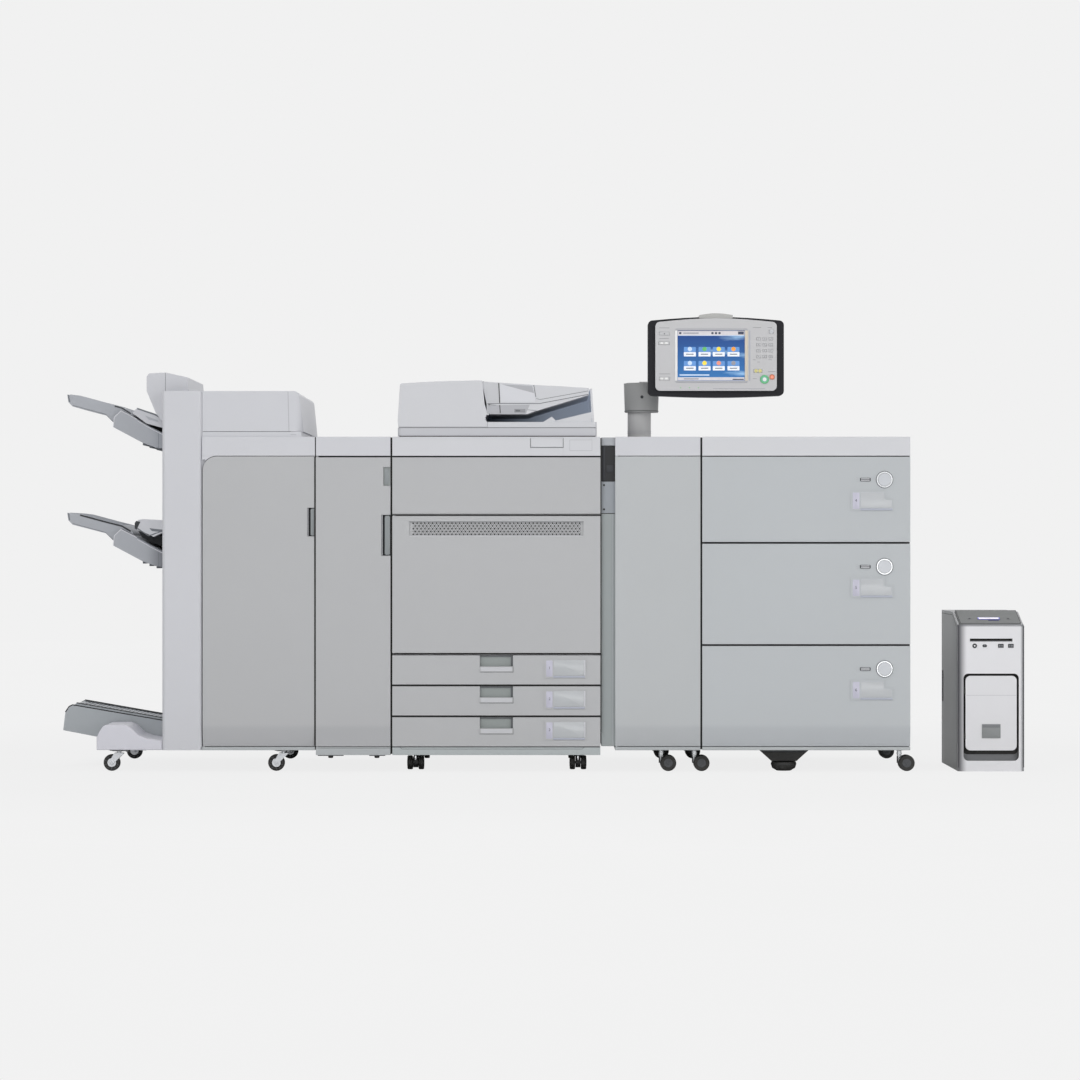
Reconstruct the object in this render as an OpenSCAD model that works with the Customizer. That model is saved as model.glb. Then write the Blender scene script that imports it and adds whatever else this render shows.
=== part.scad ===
// Digital production printer line: finisher with stacking trays, coupling module, print engine
// with scanner and document feeder, relay module with a swivelling console, paper deck with
// three drawers, and a print server that stands beside the line.
// Lengths are millimetres. X runs along the line, Y runs from the front to the back, Z is up.

/* [Line] */
// Height of the cabinets' flat tops above the floor
line_h = 1040; // [980:1:1100]
// Height of the light band along the cabinets' tops
band_h = 59; // [48:1:72]
// Height of the lower edges of the front covers above the floor
cover_z = 80; // [78:1:96]
// Height of the cabinets' undersides above the floor
underside_z = 68; // [64:1:70]
// Height of the lower undersides of the engine and the coupling module
skirt_z = 53; // [52:1:58]
// Thickness of the cabinets' panels
wall = 12; // [8:1:16]
// Thickness of the front covers
cover_t = 22; // [18:1:26]
// Gap between a closed cover and the panels behind it
cover_gap = 4; // [3:0.5:8]
// Gap around a cover's edges
seam = 2; // [1.5:0.5:3]
// Gap between a cover and the band above it, where the dark line shows
shadow_gap = 5; // [3:0.5:8]
// Gap between neighbouring cabinets
module_gap = 3; // [2:0.5:6]
// Radius of the hinge pins of the doors
pin_r = 3; // [2:0.5:3.5]
// How far the lower edge of a long cover draws back
kick_d = 6; // [2:1:8]
// Height of the drawn-back zone at a cover's lower edge
kick_h = 52; // [30:1:70]

/* [Finisher] */
// Width of the finisher's body with its column
finisher_w = 474; // [440:1:520]
// Depth of the finisher from front to back
finisher_d = 760; // [720:1:800]
// Width of the delivery column at the left end
column_w = 124; // [110:1:140]
// Height of the column and the hood above the floor
column_h = 1182; // [1150:1:1220]
// Radius of the rounded corner of the finisher's door
door_corner_r = 43; // [20:1:60]
// Depth of the delivery mouths in the column
mouth_d = 30; // [20:1:45]
// Height of a delivery mouth
mouth_h = 30; // [20:1:36]
// Width of the upright slots that the trays' hooks run in
slot_w = 16; // [12:1:24]
// Length of the hood along the line, at its top
hood_w = 301; // [260:1:310]
// How far the hood's right side slopes out at its foot
hood_slope = 12; // [4:1:20]
// Depth of the delivery head on top of the column
head_d = 520; // [480:1:560]
// Distance of the delivery head from the front
head_y = 120; // [100:1:140]

/* [Trays] */
// Reach of a stacking tray to the left of the column
tray_reach = 320; // [280:1:360]
// Height of a stacking tray's outline
tray_h = 175; // [160:1:185]
// Width of a stacking tray across the paper
tray_w = 400; // [360:1:420]
// Distance of the trays from the front
tray_y = 170; // [160:1:190]
// Height of the upper tray's root above the floor
upper_tray_z = 1005; // [1000:1:1010]
// Drop from the upper tray to the lower tray
tray_drop = 373; // [360:1:385]
// Reach of the booklet tray to the left of the column
booklet_reach = 336; // [300:1:350]
// Width of the booklet tray across the paper
booklet_w = 320; // [280:1:340]
// Reach of the booklet foot to the left of the column
foot_reach = 204; // [190:1:230]
// Height of the booklet foot's cover above the floor
foot_h = 146; // [136:1:150]

/* [Coupling module] */
// Width of the coupling module
coupler_w = 231; // [200:1:260]
// Depth of the coupling module
coupler_d = 720; // [680:1:760]

/* [Engine] */
// Width of the print engine
engine_w = 645; // [620:1:680]
// Depth of the print engine
engine_d = 850; // [800:1:900]
// Height of the toner cover
toner_cover_h = 177; // [160:1:190]
// Height of a paper drawer's front
drawer_front_h = 90; // [86:1:92]
// Width of the air grille in the front cover
grille_w = 540; // [480:1:560]
// Height of the air grille
grille_h = 43; // [36:1:50]
// Width of a hole in the air grille
grille_hole = 5.2; // [4:0.1:6]
// Pitch of the grille's holes along a row
grille_pitch = 12; // [11:0.5:16]
// Diameter of a toner bottle
bottle_d = 118; // [100:1:126]
// Width of a drum unit
drum_w = 118; // [100:1:124]

/* [Scanner and feeder] */
// Depth of the scanner housing on the engine
reader_d = 700; // [680:1:760]
// Length of the platen glass along the line
glass_w = 460; // [440:1:480]
// Depth of the platen glass
glass_d = 330; // [300:1:350]
// Length of the document feeder along the line
feeder_w = 618; // [600:1:630]
// Depth of the document feeder
feeder_d = 560; // [540:1:600]
// Height of the document feeder above the scanner
feeder_h = 176; // [165:1:185]
// Length of the feeder's closed left part
dome_w = 279; // [270:1:290]

/* [Relay module and console] */
// Width of the feed duct between the engine and the relay module
duct_w = 43; // [36:1:50]
// Depth of the feed duct
duct_d = 600; // [560:1:640]
// Width of the relay module
relay_w = 264; // [250:1:290]
// Depth of the relay module
relay_d = 780; // [740:1:820]
// Diameter of the console's post
post_d = 74; // [60:1:80]
// Height of the post above the cabinet's top
post_h = 84; // [70:1:100]
// Width of the console
console_w = 426; // [410:1:440]
// Height of the console between its corners
console_h = 236; // [230:1:245]
// Rise of the arched upper edge of the console
console_rise = 11; // [4:1:16]
// Depth of the console's housing
console_d = 46; // [40:1:54]
// Width of the touch screen
screen_w = 211; // [200:1:220]
// Height of the touch screen
screen_h = 158; // [150:1:165]

/* [Paper deck] */
// Width of the paper deck
deck_w = 645; // [620:1:680]
// Depth of the paper deck
deck_d = 780; // [740:1:820]
// Height of the upper drawer's front
deck_upper_h = 264; // [250:1:275]
// Height of the middle drawer's front
deck_middle_h = 311; // [300:1:320]
// Gap between the fronts of the deck's drawers
deck_gap = 6; // [4:0.5:8]
// Diameter of a drawer's push button
button_d = 40; // [34:1:42]

/* [Print server] */
// Space between the deck and the print server
server_space = 152; // [100:1:200]
// Width of the print server
server_w = 207; // [190:1:220]
// Depth of the print server
server_d = 445; // [420:1:480]
// Height of the print server at its rear
server_h = 494; // [480:1:510]
// Distance of the print server from the line's front plane
server_y = 40; // [20:1:60]

/* [Casters] */
// Diameter of the finisher's caster wheels
fork_wheel_d = 52; // [48:1:54]
// Diameter of the engine's caster wheels
engine_wheel_d = 44; // [42:1:45]
// Diameter of the deck's caster wheels
deck_wheel_d = 50; // [46:1:52]
// Distance of the casters from the front and rear of each cabinet
caster_y = 70; // [66:1:90]

/* [Hidden] */

$fn = 48;
// Steps of a quarter round in an outline
arc_steps = 8;
// Overrun that cuts reach past a surface
over = 1;
// Hairline between panels that butt against each other
butt = 0.2;
// Clearance of a piece that turns or slides on its seat
running = 0.3;
// Clearance round a key or button in its hole
key_gap = 0.5;

band_z = line_h - band_h;
back_of_cover = cover_t + cover_gap;

// Places along the line, from the column's left face
coupler_x = finisher_w + module_gap;
engine_x = coupler_x + coupler_w + 2 * module_gap;
duct_x = engine_x + engine_w + module_gap;
relay_x = duct_x + duct_w;
deck_x = relay_x + relay_w + 2 * module_gap;
server_x = deck_x + deck_w + server_space;
line_middle = (server_x + server_w - booklet_reach) / 2;
depth_middle = engine_d / 2;

// Doors and covers
door_axis_in = 4;
swing_r = 6.2;
swing_cut = 12;
finisher_pull = [24, 731, 89];
coupler_pull = [28, 671, 127];
relay_slot = [12, 702, 84];
coupler_catch = [22, 888, 58];
catch_d = 6;
tip_axis_in = 6;

// Finisher
slot_inset = 50;
slot_y = [tray_y + slot_inset, tray_y + tray_w - slot_inset - slot_w];
column_edge_r = 12;
upper_mouth_z = upper_tray_z + 0.34 * tray_h;
lower_mouth_z = upper_mouth_z - tray_drop + mouth_h;
booklet_mouth_z = cover_z + 2 * kick_h;
mouths = [booklet_mouth_z, lower_mouth_z, upper_mouth_z];
hood_y = 8;
hood_plinth_h = 16;
hood_corner_r = 36;
hood_groove = 0.8;
hood_top_r = 17;
hood_rise = column_h - line_h - hood_plinth_h - hood_groove;
hood_d = finisher_d - 2 * hood_y;
head_reach = 61;
head_over = 71;
head_rise = 63;
head_hang = 88;
flap_reach = 111;
flap_h = 68;
upper_flap_shares = [[0, 0.75], [0.13, 1], [0.65, 0.71], [1, 0.41], [1, 0], [0.4, 0.26]];
lower_flap_shares = [[0.13, 0.36], [0.15, 0.78], [0.28, 0.82], [1, 0.76], [1, 0.3], [0.6, 0]];

// Stacking trays, as shares of their reach and height
tray_bed_shares = [
    [0, 0], [0.113, 0.03], [0.241, 0.115], [0.533, 0.4], [0.524, 0.58], [0.458, 0.693],
    [0.341, 0.583], [0.174, 0.403], [0.056, 0.295], [0, 0.257]
];
tray_tip_shares = [
    [0.5315, 0.47], [0.617, 0.622], [0.947, 0.779], [0.989, 0.857], [1, 0.993],
    [0.872, 0.968], [0.608, 0.838], [0.458, 0.77], [0.3625, 0.666], [0.341, 0.589],
    [0.458, 0.699], [0.526, 0.584]
];
tip_inset = 26;
tray_gap = 0.5;
hook_h = 60;
rib_h = 4;

// Booklet foot and tray
booklet_y = 220;
foot_front_y = 10;
foot_cover_d = booklet_y - foot_front_y - 4 * seam;
foot_shares = [
    [0, 0], [0, 0.5], [0.04, 0.73], [0.1, 0.95], [0.15, 1], [0.42, 1], [0.52, 0.9],
    [0.63, 0.6], [0.76, 0.46], [0.98, 0.38], [1, 0.38], [1, 0]
];
booklet_root_z = 92;
booklet_h = 106;
booklet_shares = [
    [0, 0.06], [0.69, 0.06], [1, 0.25], [0.98, 0.77], [0.946, 0.95], [0.915, 1], [0, 0.51]
];
booklet_rail_h = 4;
booklet_rail_w = 12;
booklet_rail_inset = 50;
booklet_rail_shares = [[0, 0.43], [0.9, 0.9], [0.9, 1], [0, 0.525]];

// Inner units of the finisher
stapler_x = column_w;
stapler_reach = 190;
stapler_z = 690;
stapler_h = 46;
stapler_y = 110;
stapler_d = 520;
stapler_head = 86;
saddle_z = 130;
saddle_h = 230;
saddle_reach = 250;
saddle_y = 90;
saddle_slant = 70;

// Roller shafts that carry the paper between the cabinets
shaft_r = 5;
roller_r = 12;
roller_l = 46;
roller_count = 4;
bar_t = 4;
bar_h = 44;
bar_front_y = 90;
bar_rear_inset = 60;
dock_y = 320;
dock_z = 420;
dock_d = 80;
dock_h = 160;

// Engine
drawer_gap = 6;
drawer_pitch = drawer_front_h + drawer_gap;
cross_rail_t = 2.4;
toner_cover_z = band_z - shadow_gap - toner_cover_h;
front_cover_z = cover_z + 3 * drawer_pitch + seam;
front_cover_h = toner_cover_z - shadow_gap - front_cover_z;
toner_shelf_z = toner_cover_z + 2 * seam;
process_shelf_z = front_cover_z + seam;
bottle_l = 470;
bottle_neck = 46;
bottle_cap_r = 30;
bottle_y = 44;
bottle_pitch = (engine_w - 2 * wall) / 4;
unit_y = 70;
drum_l = engine_d - wall - unit_y;
drum_h = 122;
drum_z = toner_shelf_z - drum_h - 22;
drum_pitch = 130;
drum_first = engine_x + engine_w - wall - 76;
belt_h = 56;
belt_z = drum_z - belt_h - 3;
belt_over = 40;
fuser_w = 190;
fuser_h = 134;
grip_t = 12;
grip_proud = 22;
grille_edge = 5;
grille_rows = 5;
grille_t = 5;
grille_drop = 18;

// Engine drawers
drawer_wall = 3;
drawer_box_h = 62;
drawer_box_d = 560;
rail_w = 14;
rail_h = 8;
pull_w = 103;
pull_d = 14;
pull_h = 34;
pull_lip = 17;
lip_proud = 3;
label_w = 130;
label_h = 58;
label_t = 2;
label_inset = 44;
label_drop = 12;
deck_label_t = 2;

// Scanner
reader_rim = 4;
fascia_d = 34;
flap_w = 100;
flap_open_h = 33;
flap_inset = 116;
flap_t = 4;
switch_w = 34;
switch_h = 18;
switch_t = 6;
glass_inset = 84;
glass_y = 96;

// Feeder
feeder_x = engine_x + 16;
feeder_y = 20;
feeder_gap = 3.5;
feeder_z = line_h + feeder_gap;
slab_t = 43;
slab_low_t = 25;
slab_groove = 1.6;
dome_z = feeder_z + slab_low_t + slab_groove;
dome_h = line_h + feeder_h - dome_z;
input_h = feeder_h - feeder_gap - slab_t;
hinge_block_w = 60;
hinge_ear_w = 10;
hinge_r = 9;
feeder_axis_y = feeder_y + feeder_d + hinge_r + over;
feeder_axis_z = feeder_z + hinge_r;
rear_shares = [
    [0, 0], [0.003, 0.87], [0.012, 0.925], [0.27, 0.965], [0.42, 0.975], [0.55, 0.965],
    [0.965, 0.79], [0.978, 0.74], [0.987, 0]
];
dome_foot_h = 18;
dome_shares = [
    [0.006, 0], [0, 0.15], [0.025, 0.91], [0.035, 0.935], [0.36, 0.97], [0.58, 0.985],
    [0.935, 1], [0.943, 0.98], [0.968, 0.495], [1, 0.29], [0.975, 0.21], [0.985, 0.13],
    [1, 0.113], [1, 0]
];
dome_wall = 5;
// Tray for the originals, its feed guide, and what stands on the delivery's floor
input_share = 0.955;
input_end = 24.5;
input_shares = [
    [0.036, 0.43], [0, 0.969], [0.143, 0.946], [0.47, 0.892], [1, 0.815], [1, 0.645], [0.504, 0.266]
];
guide_shares = [[0.06, 0.189], [0.416, 0.189], [0.497, 0.262], [0.06, 0.413]];
paper_stop_shares = [[0.731, 0], [0.774, 0.126], [0.794, 0.034], [0.794, 0]];
output_shares = [[0.795, 0], [0.795, 0.034], [0.974, 0.24], [0.974, 0]];
end_shares = [[0.976, 0], [0.987, 0], [0.977, 0.8], [0.966, 0.8]];
end_wall = 6;
feeder_rear_d = 96;

// Relay module and console
duct_y = 10;
duct_cap_h = 27;
duct_dark_h = 111;
duct_mid_h = 99;
post_x = relay_x + 82;
post_y = 270;
collar_r = 56;
collar_h = 92;
collar_flare = 3;
collar_shift = 7;
arm_w = 44;
arm_h = 34;
arm_rise = 5;
console_x = relay_x + 105;
console_z = 1172;
console_y = 118;
console_corner_r = 15;
bezel_side = 23;
bezel_low = 15;
bezel_top = 5;
bezel_t = 12;
screen_left = 92;
screen_low = 46;
screen_sink = 2;
tilt_r = 15;
tilt_w = 70;
ear_w = 18;
tilt_back = 22;
tilt_low = 62;
cap_w = 105;
cap_h = 21;
cap_drop = bezel_top - butt;
cap_proud = 7;
key_t = 8;
key_proud = 2;
key_h = 7;
wide_key_h = 9;
// Fields left and right of the screen, and the shares of their width and of the console's
// height that place the keys
left_field = [bezel_side, screen_left - bezel_side];
right_field = [screen_left + screen_w, console_w - bezel_side - screen_left - screen_w];
key_share = 0.11;
pad_shares = [[0.426, 0.62, 0.814], [0.515, 0.594, 0.673, 0.752]];
start_shares = [0.616, 0.214, 0.135];
stop_shares = [0.85, 0.246, 0.08];
// Place and width of each key outside the pad
left_key_shares = [[0.41, 0.822, 0.46], [0.39, 0.695, 0.49], [0.41, 0.225, 0.46]];
right_key_shares = [[0.83, 0.847, 0.14], [0.41, 0.326, 0.26]];

// Deck
deck_heights = [
    band_z - shadow_gap - cover_z - deck_upper_h - deck_middle_h - 2 * deck_gap + seam,
    deck_middle_h, deck_upper_h
];
deck_zs = [
    cover_z, cover_z + deck_heights[0] + deck_gap,
    cover_z + deck_heights[0] + deck_heights[1] + 2 * deck_gap
];
deck_box_d = 660;
deck_side_inset = 24;
button_inset = 80;
button_drop = 71;
ring_w = 5;
ring_t = 3;
button_t = 12;
button_proud = 2;
deck_label_w = 133;
deck_label_h = 62;
deck_label_inset = 53;
deck_label_drop = 105;
deck_label_shares = [[0, 0], [1, 0], [1, 0.6], [0.81, 0.6], [0.81, 1], [0, 1]];
lamp_w = 34;
lamp_h = 12;
lamp_gap = 60;
fence_t = 6;
deck_foot_w = 158;
deck_foot_neck = 78;
deck_foot_h = 38;
pad_r = 40;
pad_t = 20;
pad_neck_r = 14;
deck_foot_share = 0.4;
deck_foot_x = deck_x + deck_w * deck_foot_share;
deck_foot_y = 90;

// Print server
server_front_h = 456;
server_face_t = 22;
server_round_r = 14;
server_slope_y = 150;
bay_w = 172;
bay_h = 271;
bay_z = 33;
bay_r = 15;
server_door_w = 159;
server_door_h = 232;
server_door_t = 10;
server_door_drop = 7;
disc_w = 132;
disc_h = 9;
disc_z = 404;
disc_depth = 12;
port_shares = [0.26, 0.41, 0.64, 0.79];
port_w = 18;
port_h = 10;
port_drop = 22;
port_depth = 4;
panel_t = 5;
panel_side = 8;
display_w = 72;
display_l = 22;
display_t = 1;
lug_r = 2.5;
lug_h = 20;
server_hinge_x = server_x + (server_w - bay_w) / 2 + running + lug_r;
badge_w = 58;
badge_h = 44;
badge_t = 1.5;
badge_low = 38;

// Casters
trail = 22;
fork_t = 3;
wheel_w = 20;
axle_r = 4;
plate_w = 52;
plate_t = 4;
twin_w = 14;
twin_gap = 12;
engine_twin_w = 17;
engine_twin_gap = 16;
stem_r = 7;
fork_gap = 1;
foot_caster_in = 30;
finisher_caster_in = 124;
relay_caster_share = 0.63;
deck_caster_in = 6;
finisher_casters = [trail / 2 - foot_reach + foot_caster_in, finisher_w - finisher_caster_in];
relay_caster_x = relay_x + relay_w * relay_caster_share;
deck_casters = [deck_x, deck_x + deck_w - deck_caster_in];
engine_caster_inset = 68;
engine_caster_y = 140;

// Outline helpers
function arc(centre, r, start) = r > 0
    ? [for (k = [0:arc_steps]) let (a = start + 90 * k / arc_steps) centre + r * [cos(a), sin(a)]]
    : [centre];
function even(r) = [r, r, r, r];
// A rectangle with the radii of its lower left, lower right, upper right and upper left corners
function soft_rect(w, h, r) = concat(
    arc([r[0], r[0]], r[0], 180),
    arc([w - r[1], r[1]], r[1], 270),
    arc([w - r[2], h - r[2]], r[2], 0),
    arc([r[3], h - r[3]], r[3], 90)
);
// A rectangle whose upper and lower edges swell by a rise
function arched(w, h, top, low, r) = concat(
    arc([r, r], r, 180),
    [for (k = [1:arc_steps - 1]) [r + (w - 2 * r) * k / arc_steps, -low * sin(180 * k / arc_steps)]],
    arc([w - r, r], r, 270),
    arc([w - r, h - r], r, 0),
    [for (k = [1:arc_steps - 1]) [w - r - (w - 2 * r) * k / arc_steps, h + top * sin(180 * k / arc_steps)]],
    arc([r, h - r], r, 90)
);
function sized(shares, w, h) = [for (p = shares) [p[0] * w, p[1] * h]];
// The same for what reaches to the left
function mirrored(shares, w, h) = [for (p = shares) [-p[0] * w, p[1] * h]];

// Solid helpers
module placed() {
    translate([-line_middle, -depth_middle, 0]) children();
}
module block(low, high) {
    translate(low) cube(high - low);
}
// Extrudes an outline of the front view from y over a depth
module front_view(y, depth) {
    translate([0, y + depth, 0]) rotate([90, 0, 0]) linear_extrude(depth) children();
}
// Extrudes an outline of the side view, y against z, from x over a width
module side_view(x, w) {
    translate([x, 0, 0]) rotate([90, 0, 90]) linear_extrude(w) children();
}
module rod_y(x, y, z, r, l) {
    translate([x, y, z]) rotate([-90, 0, 0]) cylinder(r = r, h = l);
}
module rod_x(x, y, z, r, l) {
    translate([x, y, z]) rotate([0, 90, 0]) cylinder(r = r, h = l);
}

// Panels of a cabinet from x over w, each a separate convex panel
module carcass(x, w, d, low, top) {
    floor_z = cover_z - seam;
    block([x, 0, low], [x + w, d, floor_z]);
    block([x, d - wall, floor_z + butt], [x + w, d, top - butt]);
    for (side = [x, x + w - wall])
        block([side, back_of_cover, floor_z + butt], [side + wall, d - wall - butt, top - butt]);
}
module band(x, w, d) {
    block([x, 0, band_z], [x + w, d, line_h]);
}
// Docking plate between the sides of two cabinets
module dock(x0, x1) {
    block([x0 + butt, dock_y, dock_z], [x1 - butt, dock_y + dock_d, dock_z + dock_h]);
}
// A front cover from x over w, with its lower edge drawn back
module cover(x, z, w, h, radii, kick) {
    intersection() {
        translate([x, 0, z]) front_view(0, cover_t) polygon(soft_rect(w, h, radii));
        side_view(x - over, w + 2 * over)
            polygon([
                [kick, z - over], [cover_t + over, z - over], [cover_t + over, z + h + over],
                [0, z + h + over], [0, z + kick_h], [kick, z]
            ]);
    }
}
// A hinge pin on a door's axis, from inside the door to its seat
module door_pin(x, z0, z1) {
    translate([x + door_axis_in, door_axis_in, z0]) cylinder(r = pin_r, h = z1 - z0);
}

// Roller shafts along y between two crossbars
module crossbars(x0, x1, d, zs) {
    for (z = zs)
        for (y = [bar_front_y, d - wall - bar_rear_inset])
            block([x0, y, z - bar_h / 2], [x1, y + bar_t, z + bar_h / 2]);
}
module shafts(x, d, zs) {
    y0 = bar_front_y + bar_t;
    l = d - wall - bar_rear_inset - y0;
    for (z = zs)
        rod_y(x, y0, z, shaft_r, l);
    for (z = zs)
        for (k = [0:roller_count - 1])
            rod_y(x, y0 + l * (k + 0.5) / roller_count - roller_l / 2, z, roller_r, roller_l);
}
coupler_shaft_zs = [760, 560, 360];
relay_shaft_zs = [820, 620, 420, 220];
finisher_shaft_zs = [860, 560];

// Finisher
module finisher_frame() {
    x = column_w + butt;
    w = finisher_w - x;
    corner_r = door_corner_r + seam - butt;
    color("lavender") placed() {
        band(x, w, finisher_d);
        // Filler round the door's rounded corner, clear of the corner's swing
        difference() {
            translate([x, 0, band_z - butt]) front_view(0, cover_t)
                polygon(concat(
                    [[0, 0]],
                    arc([corner_r, -corner_r], corner_r, 90)
                ));
            translate([column_w + seam + door_axis_in, door_axis_in, band_z - 2 * door_corner_r])
                cylinder(r = swing_r, h = 2 * door_corner_r - swing_cut);
        }
    }
    color("silver") placed() {
        floor_z = cover_z - seam;
        block([x, 0, underside_z], [x + w, finisher_d, floor_z]);
        block([x, finisher_d - wall, floor_z + butt], [x + w, finisher_d, band_z - butt]);
        block(
            [x + w - wall, back_of_cover, floor_z + butt],
            [x + w, finisher_d - wall - butt, band_z - butt]
        );
        crossbars(x, x + w - wall - butt, finisher_d, finisher_shaft_zs);
    }
}

module finisher_column() {
    a = slot_y[0];
    b = slot_y[1];
    color("lavender") placed() {
        // Front and rear towers
        translate([0, 0, underside_z]) linear_extrude(column_h - underside_z)
            polygon(soft_rect(column_w, a, [column_edge_r, column_edge_r, 0, 0]));
        translate([0, b + slot_w, underside_z]) linear_extrude(column_h - underside_z)
            polygon(soft_rect(column_w, finisher_d - b - slot_w, [0, 0, column_edge_r, column_edge_r]));
        // Core behind the slots and mouths
        block([mouth_d, a + butt, underside_z], [column_w, b + slot_w - butt, column_h]);
        // Skin between the slots, in the lengths that the mouths leave
        for (k = [0:len(mouths)]) {
            z0 = k == 0 ? underside_z : mouths[k - 1] + mouth_h;
            z1 = k == len(mouths) ? column_h : mouths[k];
            block([0, a + slot_w, z0], [mouth_d - butt, b, z1]);
        }
        // Delivery flap above the lower tray
        translate([-flap_reach, 0, upper_tray_z - tray_drop + flap_h + mouth_h]) front_view(tray_y, tray_w)
            polygon(sized(lower_flap_shares, flap_reach - butt, flap_h));
    }
}

module finisher_hood() {
    x = column_w + butt;
    w = hood_w + hood_slope;
    color("lavender") placed() {
        block([x, hood_y, line_h], [x + w - hood_slope / 2, hood_y + hood_d, line_h + hood_plinth_h]);
        intersection() {
            front_view(hood_y, hood_d)
                translate([x, line_h + hood_plinth_h + hood_groove])
                    polygon(concat(
                        [[0, 0], [w, 0]],
                        arc([hood_w - hood_top_r, hood_rise - hood_top_r], hood_top_r, 0),
                        [[0, hood_rise]]
                    ));
            translate([x, hood_y, line_h]) linear_extrude(column_h)
                polygon(soft_rect(w, hood_d, [0, hood_corner_r, hood_corner_r, 0]));
        }
    }
}

module finisher_head() {
    color("gainsboro") placed() {
        translate([0, 0, column_h]) front_view(head_y, head_d)
            polygon([
                [-head_reach, 0.08 * head_rise], [-head_reach, 0.8 * head_rise],
                [-0.88 * head_reach, 0.95 * head_rise], [-0.04 * head_reach, head_rise],
                [0.94 * head_over, 0.76 * head_rise], [head_over, 0], [-butt, 0],
                [-butt, -0.96 * head_hang], [-0.24 * head_reach, -head_hang],
                [-0.53 * head_reach, -0.73 * head_hang]
            ]);
        // Delivery flap above the upper tray
        translate([-flap_reach, 0, upper_mouth_z + 2 * seam]) front_view(tray_y, tray_w)
            polygon(sized(upper_flap_shares, flap_reach - butt, flap_h));
    }
}

module stapling_units() {
    color("darkgray") placed() {
        // Processing tray with the stapler's head on its rail
        block(
            [stapler_x, stapler_y, stapler_z],
            [stapler_x + stapler_reach, stapler_y + stapler_d, stapler_z + stapler_h]
        );
        block(
            [stapler_x + stapler_reach + butt, stapler_y, stapler_z],
            [stapler_x + stapler_reach + stapler_head / 2, stapler_y + stapler_d, stapler_z + stapler_h / 3]
        );
        translate([stapler_x + stapler_reach + butt, 0, stapler_z + stapler_h / 3 + butt])
            front_view(stapler_y, stapler_head)
                polygon(soft_rect(stapler_head / 2, stapler_head, [0, roller_r, roller_r, roller_r]));
        // Saddle unit that staples and folds booklets
        translate([stapler_x, 0, saddle_z]) front_view(saddle_y, stapler_d + stapler_y - saddle_y)
            polygon([
                [0, 0], [saddle_reach, 0], [saddle_reach, saddle_h - saddle_slant],
                [saddle_slant, saddle_h], [0, saddle_h]
            ]);
    }
}

module booklet_foot() {
    rear_y = finisher_d - foot_front_y - foot_cover_d;
    color("lavender") placed()
        for (y = [foot_front_y, rear_y])
            translate([-foot_reach - butt, 0, underside_z])
                front_view(y, foot_cover_d)
                    polygon(sized(foot_shares, foot_reach, foot_h - underside_z));
    color("silver") placed()
        block(
            [-foot_reach + wall, foot_front_y + foot_cover_d + butt, underside_z],
            [-butt, rear_y - butt, underside_z + wall]
        );
}

module finisher_door() {
    x = column_w + seam;
    w = finisher_w - x;
    h = band_z - seam - cover_z;
    color("darkgray") placed() {
        difference() {
            cover(x, cover_z, w, h, [0, 0, 0, door_corner_r], kick_d);
            side_pull(finisher_w, finisher_pull);
        }
        door_pin(x, cover_z - seam + running, cover_z + over);
    }
}
// Finger pocket in the free edge of a door, by its width, foot and height
module side_pull(x, pull) {
    block([x - pull[0], -over, pull[1]], [x + over, cover_t - wall / 2, pull[1] + pull[2]]);
}

// One stacking tray with its bed, extension, ribs and hooks
module stacking_tray(z) {
    placed() {
        translate([-tray_gap, 0, z]) {
            front_view(tray_y, tray_w) polygon(mirrored(tray_bed_shares, tray_reach, tray_h));
            front_view(tray_y + tip_inset, tray_w - 2 * tip_inset)
                polygon(mirrored(tray_tip_shares, tray_reach - tray_gap, tray_h));
        }
        // Hooks that hang in the column's slots
        for (y = slot_y)
            block(
                [-tray_gap, y + slot_w / 4, z + rib_h],
                [mouth_d - running, y + slot_w - slot_w / 4, z + rib_h + hook_h * 0.6]
            );
    }
}
module upper_tray() {
    color("gray") stacking_tray(upper_tray_z);
}
module lower_tray() {
    color("gray") stacking_tray(upper_tray_z - tray_drop);
}

module booklet_tray() {
    color("slategray") placed()
        translate([-tray_gap, 0, booklet_root_z]) {
            front_view(booklet_y, booklet_w)
                polygon(mirrored(booklet_shares, booklet_reach - tray_gap, booklet_h));
            // Two rails along the top that the booklets slide on
            for (y = [booklet_y + booklet_rail_inset, booklet_y + booklet_w - booklet_rail_inset])
                front_view(y, booklet_rail_w)
                    polygon(mirrored(
                        booklet_rail_shares, booklet_reach - tray_gap, booklet_h + booklet_rail_h
                    ));
        }
}

// Coupling module
module coupler_cabinet() {
    color("gainsboro") placed() band(coupler_x, coupler_w, coupler_d);
    color("silver") placed() {
        carcass(coupler_x, coupler_w, coupler_d, skirt_z, band_z);
        dock(finisher_w, coupler_x);
        dock(coupler_x + coupler_w, engine_x);
        crossbars(
            coupler_x + wall + butt, coupler_x + coupler_w - wall - butt, coupler_d, coupler_shaft_zs
        );
    }
}
module coupler_door() {
    h = band_z - shadow_gap - cover_z;
    color("darkgray") placed() {
        difference() {
            cover(coupler_x, cover_z, coupler_w, h, [0, 0, 0, 0], 0);
            side_pull(coupler_x + coupler_w, coupler_pull);
            // Shallow catch above the pull
            block(
                [coupler_x + coupler_w - coupler_catch[0], -over, coupler_catch[1]],
                [coupler_x + coupler_w + over, catch_d, coupler_catch[1] + coupler_catch[2]]
            );
        }
        door_pin(coupler_x, cover_z - seam + running, cover_z + over);
        door_pin(coupler_x, cover_z + h - over, band_z - running);
    }
}

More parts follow.
